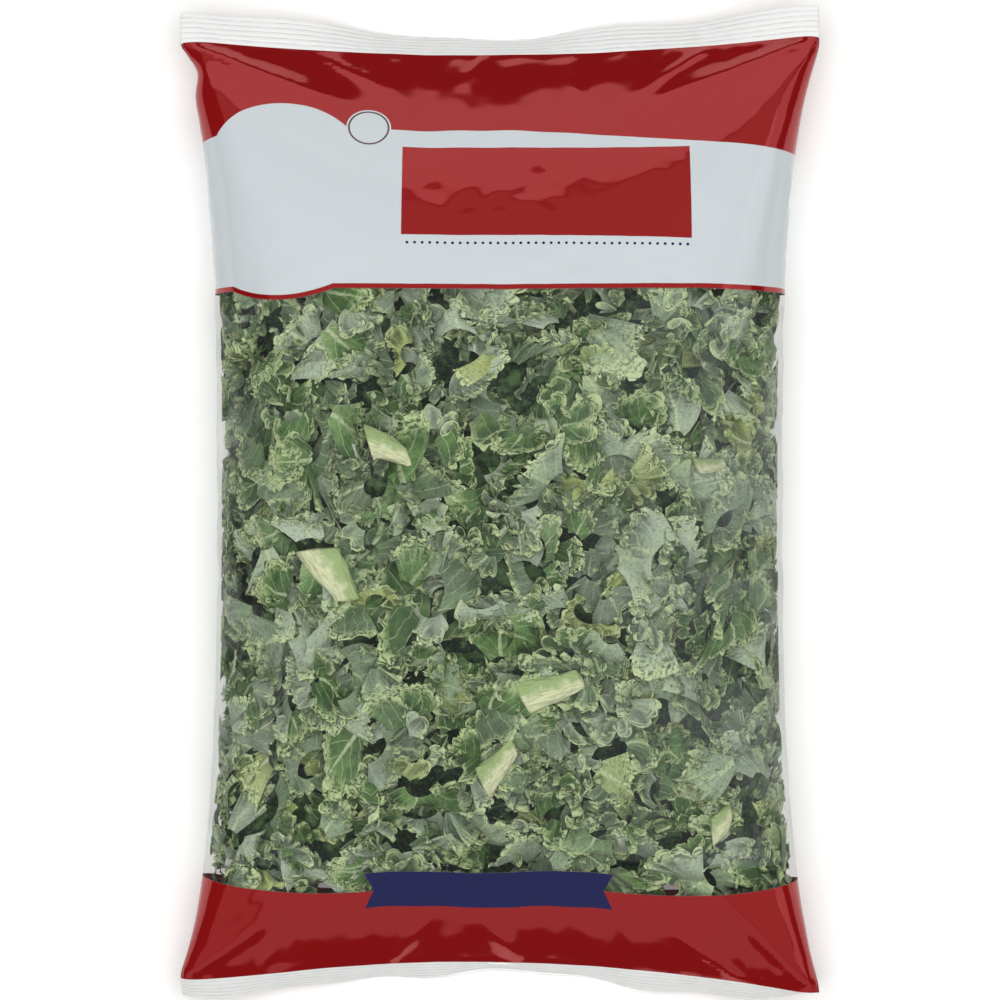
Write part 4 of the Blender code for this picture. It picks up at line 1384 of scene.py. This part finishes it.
@dataclass
class LeafPiece:
    """One cut piece of curly leaf, first as a flat fan and then ruffled towards its margin."""

    cut: LeafCut
    draw: np.random.Generator
    columns: int
    rows: int

    def shape(self) -> tuple[Array, Array, Array, Array]:
        """Work out the piece.

        Returns:
            Metres across and along the piece, metres out of its plane, and four numbers for each point:
            its leaf_place and how far it stands up in its ruffle, from 0 to 1.
        """
        draw, size = self.draw, LEAF_SIZES[self.cut]
        radius, fan = draw.uniform(*size.radius), draw.uniform(*size.fan)
        start = draw.uniform(*size.start)
        s = np.linspace(-1.0, 1.0, self.columns)[:, None]
        t = (np.linspace(0.0, 1.0, self.rows) ** 0.85)[None, :]
        arc = s * fan * radius
        reach = self.margin(arc, start, t, fan * s)
        swing = np.sin(arc / (7 * MM) * draw.uniform(0.5, 1.2) + draw.uniform(0, 6.3))
        lean = (draw.uniform(*size.lean) + 0.7 * swing) * np.clip((t - size.flat) / (1 - size.flat), 0.0, 1.0)
        step = np.diff(reach, axis=1, prepend=reach[:, :1]) * radius
        ruffle, shift = self.ruffle(arc, t)
        far = reach[:, :1] * radius + np.cumsum(np.cos(lean) * step, 1) - np.sin(lean) * ruffle
        w = np.cumsum(np.sin(lean) * step, 1) + np.cos(lean) * ruffle
        angle = s * fan + draw.uniform(-0.5, 0.5) * (t - 0.5)
        x = far * np.sin(angle) + shift * np.cos(angle)
        y = far * np.cos(angle) - shift * np.sin(angle)
        x = x * draw.uniform(0.8, 1.15) + draw.uniform(-0.35, 0.35) * y
        bow = draw.uniform(-1, 1, 2) * size.bow
        w = w + (bow[0] * x * x + bow[1] * y * y) / radius
        # This relief drives the leaf material's painted shade in ruffle valleys and painted highlight on
        # raised ruffles.
        relief = np.clip(0.5 + (w - w.mean()) / (7 * MM) + 0.12 * ruffle / MM, 0.0, 1.0)
        place = np.stack([reach * np.sin(s * fan), reach * np.cos(s * fan), t + 0 * s, relief], -1)
        return x - x.mean(), y - y.mean(), w, place

    def ruffle(self, arc: Array, t: Array) -> tuple[Array, Array]:
        """The ruffles, which grow towards the margin because it is longer than the blade it grows from.

        Args:
            arc: Metres along the margin, one for each ray.
            t: The share of the way to the margin.

        Returns:
            Metres out of the sheet and metres along the margin.
        """
        draw, size = self.draw, LEAF_SIZES[self.cut]
        out, shift = 0 * arc * t, 0 * arc * t
        for order, (length, height) in enumerate(size.waves):
            wander = 1.1 * np.sin(arc / length * draw.uniform(0.9, 1.9) + draw.uniform(0, 6.3))
            phase = 2 * np.pi * arc / (length * draw.uniform(0.85, 1.2)) + wander + draw.uniform(0, 6.3)
            phase = phase + draw.uniform(-1.6, 1.6) * t
            swell = 0.75 + 0.5 * np.sin(arc / length * draw.uniform(0.5, 1.1) + draw.uniform(0, 6.3))
            rise = height * swell * t ** (size.power + 0.6 * order)
            out = out + rise * np.sin(phase)
            shift = shift + (0.4 + 0.25 * order) * rise * np.cos(phase)
        return out, shift

    def margin(self, arc: Array, start: float, t: Array, angle: Array) -> Array:
        """How far the piece reaches along each of its rays: broad waves, lobes, teeth and a straight cut.

        Args:
            arc: Metres along the margin, one for each ray.
            start: Where the rays start, as a share of the radius.
            t: The share of the way from there to the margin.
            angle: The turn of each ray.

        Returns:
            The distance of every point from where the rays meet, as a share of the radius.
        """
        draw = self.draw
        lobe_length, tooth_length = draw.uniform(2.4, 4.4) * MM, draw.uniform(1.2, 1.7) * MM
        broad = 1 + 0.22 * np.sin(arc / (9 * MM) * draw.uniform(0.8, 2.0) + draw.uniform(0, 6.3))
        broad = broad + 0.08 * np.sin(arc / (3 * MM) * draw.uniform(0.8, 1.5) + draw.uniform(0, 6.3))
        cut = draw.uniform(0.60, 1.3) / np.clip(np.cos(angle - draw.uniform(-1.2, 1.2)), 0.2, 1.0)
        frilled = np.clip((cut - broad) * 6, 0.0, 1.0)
        lobes = np.abs(np.sin(np.pi * arc / lobe_length + draw.uniform(0, 6.3))) ** 0.6 - 0.6
        teeth = np.abs(np.sin(np.pi * arc / tooth_length)) - 0.6
        edge = frilled * (0.14 * lobes * t ** 2.5 + 0.09 * teeth * t ** 6)
        return start + (np.maximum(np.minimum(broad, cut), start + 0.15) - start) * t + edge


@dataclass(frozen=True)
class LeafLayer:
    """One layer of leaf pieces: the stretch of flat film it lies under, how deep, and how fine."""

    around: tuple[float, float]
    along: tuple[float, float]
    pitch: float
    depth: tuple[float, float]
    columns: int
    rows: int
    tilt: float
    cuts: tuple[float, float, float]
    scale: float = 1.0
    # How much the layer's relief is lowered so the leaf material paints it darker: painted shade for a deep
    # layer.
    painted_shade: float = 0.0


LeafMesh = tuple[Array, Array, Array, Array]


@dataclass
class KaleFill:
    """All the chopped leaf in the bag, in clumps that stand for the CAD's own."""

    shape: FilmShape
    columns: int = 3
    rows: int = 5
    least_depth: float = 1.2 * MM
    soft: float = 1.1 * MM
    side_gap: float = 0.8 * MM
    low_end: float = 38.0 * MM
    high_end: float = 410.0 * MM
    stalk_reach: float = 13 * MM
    stalk_gap: float = 5 * MM
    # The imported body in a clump: its place on the flat film, and its depth under the front and the back.
    heart_side: float = 16 * MM
    heart_low: float = 52 * MM
    heart_length: float = 338 * MM
    heart_depths: tuple[float, float] = (15 * MM, 9 * MM)
    heart_lump: float = 3 * MM
    heart_points: tuple[int, int] = (24, 18)
    seed: int = 37
    stalks: Sequence[tuple[float, float, float]] = ()

    def layers(self) -> list[LeafLayer]:
        """The layers, from the deep ones up to those that show through the front."""
        width = self.shape.width
        window = (46 * MM, 326 * MM)
        front = (-4 * MM, width + 4 * MM)
        right, left = (width - 3 * MM, width + 34 * MM), (2 * width - 34 * MM, 2 * width + 3 * MM)
        back = (width + 30 * MM, 2 * width - 30 * MM)
        sides = (0.3, 0.6, 0.1)
        return [
            # The deepest layer is darkened by painted shade, its last number.
            LeafLayer(
                front, window, 14.5 * MM, (6.5 * MM, 12 * MM), 36, 6, 0.30, (0.5, 0.4, 0.10), 1.25, 0.4,
            ),
            LeafLayer(front, window, 17.0 * MM, (2.4 * MM, 7.5 * MM), 108, 9, 0.40, (0.40, 0.48, 0.12), 1.22),
            LeafLayer(right, window, 14 * MM, (1.6 * MM, 6 * MM), 46, 7, 0.4, sides, 1.1),
            LeafLayer(left, window, 14 * MM, (1.6 * MM, 6 * MM), 46, 7, 0.4, sides, 1.1),
            LeafLayer(back, window, 21 * MM, (2.5 * MM, 7 * MM), 36, 7, 0.25, (0.4, 0.5, 0.1), 1.15),
            LeafLayer(
                (0.0, 2 * width),
                (332 * MM, 396 * MM),
                27 * MM,
                (3 * MM, 8 * MM),
                28,
                6,
                0.2,
                (0.5, 0.4, 0.1),
                1.2,
            ),
        ]

    def lay(self, layer: LeafLayer, draw: np.random.Generator) -> Iterable[LeafMesh]:
        """Lay one layer of pieces under the film.

        Args:
            layer: The layer.
            draw: Where the random numbers come from.

        Yields:
            Each piece's points, its leaf_place, its leaf_kind and its middle in the row frame.
        """
        span_u, span_v = layer.around[1] - layer.around[0], layer.along[1] - layer.along[0]
        wide, tall = max(1, round(span_u / layer.pitch)), max(1, round(span_v / layer.pitch))
        cuts = list(LeafCut)
        for column in range(wide):
            for row in range(tall):
                offset = 0.5 * (row % 2)
                u = layer.around[0] + (column + offset + draw.uniform(-0.2, 0.7)) / wide * span_u
                v = layer.along[0] + (row + draw.uniform(0.0, 1.0)) / tall * span_v
                cut = cuts[int(draw.choice(3, p=layer.cuts))]
                piece = LeafPiece(cut, draw, layer.columns, layer.rows)
                yield self.press(piece, layer, u, v, draw.uniform(0, 2 * np.pi), draw)

    def press(
        self,
        piece: LeafPiece,
        layer: LeafLayer,
        u: float,
        v: float,
        turn: float,
        draw: np.random.Generator,
    ) -> LeafMesh:
        """Turn a piece, tip it and press it up against the film.

        Args:
            piece: The piece.
            layer: Its layer.
            u: Where its middle lies around the tube.
            v: Where it lies along it.
            turn: How far it is turned in its plane, in radians.
            draw: Where the random numbers come from.

        Returns:
            Its points, its leaf_place, its leaf_kind and its middle.
        """
        x, y, w, place = piece.shape()
        x, y, w = x * layer.scale, y * layer.scale, w * layer.scale
        tip = draw.normal(0, layer.tilt, 2)
        depth = draw.uniform(*layer.depth)
        w = w + tip[0] * x + tip[1] * y
        flat_u = u + x * math.cos(turn) - y * math.sin(turn)
        flat_v = v + x * math.sin(turn) + y * math.cos(turn)
        flat_v = np.clip(flat_v, self.low_end, self.high_end)
        gap = self.side_gap * np.exp(-(self.from_side(flat_u) / (20 * MM)) ** 2)
        if layer.pitch > 0.0:
            gap = gap + self.under_stalks(flat_u, flat_v)
        sunk = self.least_depth + gap + self.soft * np.logaddexp(
            0.0, (depth - w - self.least_depth) / self.soft,
        )
        room = 0.46 * self.shape.room_at(flat_u, flat_v)
        sunk = room - self.soft * np.logaddexp(0.0, (room - sunk) / self.soft)
        points = self.shape.under(flat_u, flat_v, np.maximum(sunk, 0.6 * MM))
        points[..., 2] = np.maximum(points[..., 2], 1.6 * MM)
        kind = np.zeros(points.shape)
        kind[..., 0] = draw.uniform()
        kind[..., 1] = float(draw.uniform() < 0.32)
        # A deep layer's relief is lowered so that the leaf material darkens it as painted shade.
        kind[..., 2] = place[..., 3] * (1 - layer.painted_shade)
        middle = points[points.shape[0] // 2, points.shape[1] // 2]
        return points, place[..., :3], kind, middle

    def under_stalks(self, u: Array, v: Array) -> Array:
        """How much deeper leaf lies where a stalk chunk is pressed between it and the film."""
        deeper = np.zeros_like(u)
        for chunk_u, chunk_v, _ in self.stalks:
            near = np.exp(-((u - chunk_u) ** 2 + (v - chunk_v) ** 2) / self.stalk_reach ** 2)
            deeper = np.maximum(deeper, self.stalk_gap * near)
        return deeper

    def from_side(self, u: Array) -> Array:
        """How far each place around the tube is from the bag's nearer side fold."""
        turned = u % self.shape.width
        return np.minimum(turned, self.shape.width - turned)

    def clump_of(self, middle: Array) -> int:
        """The number of the CAD clump whose block holds a place."""
        low = np.array(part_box("kale_clump_01")[0])
        high = np.array(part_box(f"kale_clump_{self.columns * self.rows:02d}")[1])
        share = np.clip((middle - low) / (high - low), 0.0, 0.999)
        return int(share[1] * self.rows) * self.columns + int(share[0] * self.columns) + 1

    def heart(self, clump: int, draw: np.random.Generator) -> tuple[Array, Array]:
        """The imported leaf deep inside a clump, as one lumpy closed body.

        Args:
            clump: The clump's number.
            draw: Where the random numbers come from.

        Returns:
            Its points and faces.
        """
        row, column = divmod(clump - 1, self.columns)
        width, side = self.shape.width, self.heart_side
        lumps = Ripples(draw, 9 * MM, 26 * MM, 12)
        wide, tall = (np.linspace(0.0, 1.0, count) for count in self.heart_points)
        u = side + (column + wide) / self.columns * (width - 2 * side)
        v = self.heart_low + (row + tall) / self.rows * self.heart_length
        grid_u, grid_v = np.meshgrid(u, v, indexing="ij")
        sheets = []
        for around, depth in zip((grid_u, 2 * width - grid_u), self.heart_depths):
            sunk = depth + self.heart_lump * lumps.at(around, grid_v)
            room = 0.42 * self.shape.room_at(around, grid_v)
            sheets.append(self.shape.under(around, grid_v, np.minimum(sunk, room)))
        return slab(sheets[0], sheets[1])

    def build(
        self, material: bpy.types.Material, stalks: Sequence[tuple[float, float, float]],
    ) -> list[bpy.types.Object]:
        """Build every clump.

        Args:
            material: The leaf's material.
            stalks: The flat place and turn of each stalk chunk that shows, to lay a ribbed leaf at.

        Returns:
            One piece for each clump.
        """
        draw = np.random.default_rng(self.seed)
        self.stalks = stalks
        parts: list[list[LeafMesh]] = [[] for _ in range(self.columns * self.rows)]
        for layer in self.layers():
            for leaf in self.lay(layer, draw):
                self.sort_in(parts, leaf)
        fine = LeafLayer((0.0, 0.0), (0.0, 0.0), 0.0, (6.8 * MM, 7.4 * MM), 108, 9, 0.05, (0.0, 0.0, 1.0))
        for u, v, turn in stalks:
            piece = LeafPiece(LeafCut.RIBBED, draw, fine.columns, fine.rows)
            points, place, kind, middle = self.press(piece, fine, u, v, turn - 1.2, draw)
            kind[..., :2] = (0.8, 1.0)
            self.sort_in(parts, (points, place, kind, middle))
        pieces = []
        for index, group in enumerate(parts):
            heart, heart_faces = self.heart(index + 1, draw)
            # A leaf_place of -1 makes the leaf material paint the heart with its painted shade colour.
            place = np.stack([3 + heart[:, 0] / 0.02, heart[:, 1] / 0.02, 0 * heart[:, 2] - 1.0], -1)
            group.append((heart, heart_faces, place, np.zeros_like(place)))
            pieces.append(self.join(index + 1, group, material))
        return pieces

    def sort_in(self, parts: list[list[LeafMesh]], leaf: LeafMesh) -> None:
        """Put a leaf piece into the clump that it lies in.

        Args:
            parts: The lists of every clump.
            leaf: The piece's points, leaf_place, leaf_kind and middle.
        """
        points, place, kind, middle = leaf
        faces = grid_faces(points.shape[0], points.shape[1])
        part = (points.reshape(-1, 3), faces, place.reshape(-1, 3), kind.reshape(-1, 3))
        parts[self.clump_of(middle) - 1].append(part)

    def join(self, clump: int, group: Sequence[LeafMesh], material: bpy.types.Material) -> bpy.types.Object:
        """Join one clump's pieces and let them stand for the CAD clump."""
        starts = np.cumsum([0] + [len(part[0]) for part in group[:-1]])
        points = np.concatenate([part[0] for part in group])
        faces = np.concatenate([part[1] + start for part, start in zip(group, starts)])
        name = f"kale_clump_{clump:02d}"
        made = build_mesh("chopped_" + name, points, faces, material)
        store(made, "leaf_place", np.concatenate([part[2] for part in group]))
        store(made, "leaf_kind", np.concatenate([part[3] for part in group]))
        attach(made, BODY)
        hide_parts(name)
        return made


@dataclass
class StalkChunks:
    """The pale chunks of stalk, each where its CAD node lies."""

    shape: FilmShape
    # Length, width and thickness in millimetres, then the turn in degrees.
    sizes: tuple[tuple[float, float, float, float], ...] = (
        (27, 14, 5.5, -58), (20, 10, 5, -20), (23, 10, 5, 55), (28, 12, 5.5, 20), (15, 6, 4, 5),
        (13, 9, 4.5, 40), (25, 11, 5, 35), (21, 10, 5, -50), (23, 12, 5.5, 80), (19, 9, 4.5, 10),
    )
    front: int = 6
    # Points around and along a chunk.
    around: int = 36
    stations: int = 33
    depth: float = 2.1

    def flat_place(self, number: int) -> tuple[float, float]:
        """The place on the flat film over a chunk's CAD node."""
        low, high = (np.array(corner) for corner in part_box(f"stalk_chunk_{number:02d}"))
        x, y = ((low + high) / 2)[:2]
        return self.shape.flat_place(float(x), float(y), number <= self.front)

    def shown(self) -> list[tuple[float, float, float]]:
        """The flat place and turn of each chunk that shows through the front."""
        turns = [math.radians(size[3]) for size in self.sizes[: self.front]]
        return [(*self.flat_place(index + 1), turn) for index, turn in enumerate(turns)]

    def chunk(self, number: int) -> tuple[Array, Array, Array]:
        """One chunk: a tapered rib with slanted cuts and a groove along its inner side.

        Args:
            number: The chunk's number.

        Returns:
            Its points, its faces and its stalk_place.
        """
        length, width, thick, degrees = self.sizes[number - 1]
        above = number <= self.front
        u, v = self.flat_place(number)
        turns = np.linspace(0, 2 * np.pi, self.around, endpoint=False)[:, None]
        station = np.linspace(-1, 1, self.stations)[None, :]
        cap = np.clip((1 - np.abs(station)) / 0.10, 0.0, 1.0)
        cap = np.sqrt(1 - (1 - cap) ** 2 * 0.55) * (np.abs(station) < 0.999)
        wobble = 1 + 0.04 * np.sin(5 * turns + 4 * station + number) + 0.03 * np.sin(9 * turns - 7 * station)
        taper = (1 - 0.34 * station) * cap * wobble
        groove = 1 - 0.28 * np.exp(-((turns - 1.5 * np.pi) / 0.5) ** 2)
        across = np.copysign(np.abs(np.cos(turns)) ** 0.8, np.cos(turns)) * taper
        rise = np.copysign(np.abs(np.sin(turns)) ** 0.8, np.sin(turns)) * taper * groove
        slant = 0.8 * math.sin(2.4 * number) * np.clip((np.abs(station) - 0.3) / 0.7, 0.0, 1.0)
        along = station * 0.5 * length + slant * across * 0.5 * width
        wide = across * 0.5 * width + 0.5 * np.sin(station * 2 + number)
        turn = math.radians(degrees)
        sign = 1.0 if above else -1.0
        flat_u = u + sign * (along * math.cos(turn) - wide * math.sin(turn)) * MM
        flat_v = v + (along * math.sin(turn) + wide * math.cos(turn)) * MM
        depth = (self.depth + 0.5 * thick - 0.5 * thick * rise) * MM
        points = self.shape.under(flat_u, flat_v, depth)
        place = np.stack([along / 6, across + 0 * station, rise + 0 * station], -1)
        faces = grid_faces(self.around, self.stations, True)
        return points.reshape(-1, 3), faces, place.reshape(-1, 3)

    def build(self, material: bpy.types.Material) -> list[bpy.types.Object]:
        """Build every chunk and let it stand for its CAD node.

        Args:
            material: The stalk's material.

        Returns:
            The pieces.
        """
        pieces = []
        for number in range(1, len(self.sizes) + 1):
            points, faces, place = self.chunk(number)
            name = f"stalk_chunk_{number:02d}"
            made = build_mesh("cut_" + name, points, faces, material)
            store(made, "stalk_place", place)
            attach(made, BODY)
            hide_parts(name)
            pieces.append(made)
        return pieces


@dataclass(frozen=True)
class SoftBox:
    """One soft light: its name, place, size, power in watts, what it looks at and what it lights."""

    name: str
    place: tuple[float, float, float]
    size: tuple[float, float]
    power: float
    aim: tuple[float, float, float]
    lights_colour: bool = True
    mirrored: bool = True


@dataclass
class Studio:
    """White paper under a ceiling of soft light, and a long lens straight above, as for a pack shot."""

    frame_height: float = 430.0 * MM
    distance: float = 1.6
    paper_half: float = 4.0
    sky: float = 0.09
    boxes: tuple[SoftBox, ...] = (
        SoftBox("key_box", (0.0, 0.0, 2.2), (2.6, 2.4), 60.0, (0.0, 0.0, 0.0), mirrored=False),
        SoftBox("ceiling_glow", (0.0, 0.0, 2.25), (5.0, 5.0), 29.0, (0.0, 0.0, 0.0), False),
        SoftBox("head_panel", (0.0, 2.05, 1.13), (4.8, 1.22), 17.0, (0.0, 0.0, 1.13), False),
        SoftBox("foot_panel", (0.0, -2.05, 1.13), (4.8, 1.22), 8.5, (0.0, 0.0, 1.13), False),
        SoftBox("right_panel", (2.2, 0.0, 1.6), (2.8, 1.4), 10.0, (0.0, 0.0, 1.6), False),
    )

    def floor(self) -> None:
        """Lay the paper."""
        mesh = bpy.data.meshes.new("paper")
        half = self.paper_half
        ends = [(-half, -half, 0.0), (half, -half, 0.0), (half, half, 0.0), (-half, half, 0.0)]
        mesh.from_pydata(ends, [], [(0, 1, 2, 3)])
        mesh.materials.append(StudioPaper().build())
        paper = bpy.data.objects.new("paper", mesh)
        bpy.context.scene.collection.objects.link(paper)

    def lights(self) -> None:
        """Hang the soft boxes and set an even grey sky."""
        for box in self.boxes:
            light = bpy.data.lights.new(box.name, "AREA")
            light.shape = "RECTANGLE"
            light.size, light.size_y = box.size
            light.energy = box.power
            lamp = bpy.data.objects.new(box.name, light)
            lamp.location = box.place
            lamp.visible_diffuse = box.lights_colour
            lamp.visible_glossy = box.mirrored
            lamp.rotation_euler = (Vector(box.aim) - Vector(box.place)).to_track_quat("-Z", "Y").to_euler()
            bpy.context.scene.collection.objects.link(lamp)
        world = bpy.data.worlds.new("studio")
        world.use_nodes = True
        back = world.node_tree.nodes["Background"]
        back.inputs[0].default_value = linear("#F2F4F7")
        back.inputs[1].default_value = self.sky
        bpy.context.scene.world = world

    def camera(self) -> None:
        """Set the camera straight above the bag, its top towards +Y."""
        lens = bpy.data.cameras.new("pack_shot")
        lens.sensor_width = 36.0
        lens.lens = lens.sensor_width * self.distance / self.frame_height
        lens.clip_end = 20.0
        eye = bpy.data.objects.new("pack_shot", lens)
        eye.location = (0.0, 0.0, self.distance + 0.03)
        bpy.context.scene.collection.objects.link(eye)
        bpy.context.scene.camera = eye

    def build(self) -> None:
        """Set up the whole studio."""
        self.camera()
        self.floor()
        self.lights()
        bpy.context.scene.view_settings.view_transform = "Standard"


def report(pieces: Iterable[bpy.types.Object]) -> None:
    """Log each piece with its size."""
    for piece in pieces:
        faces = len(piece.data.polygons)
        size = ", ".join(f"{side / MM:.1f}" for side in piece.dimensions)
        LOG.info("%s: %d faces, %s mm", piece.name, faces, size)


def main() -> None:
    """Build the bag, its contents and the studio."""
    logging.basicConfig(level=logging.INFO, format="%(message)s")
    Studio().build()
    shape = FilmTube().fill(fine=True)
    films = {zone: PrintedFilm(zone).build() for zone in FilmZone}
    stalks = StalkChunks(shape)
    report(FilmBag(shape).build(films, CrimpedFilm().build()))
    report(KaleFill(shape).build(KaleSkin().build(), stalks.shown()))
    report(stalks.build(StalkFlesh().build()))


if __name__ == "__main__":
    main()
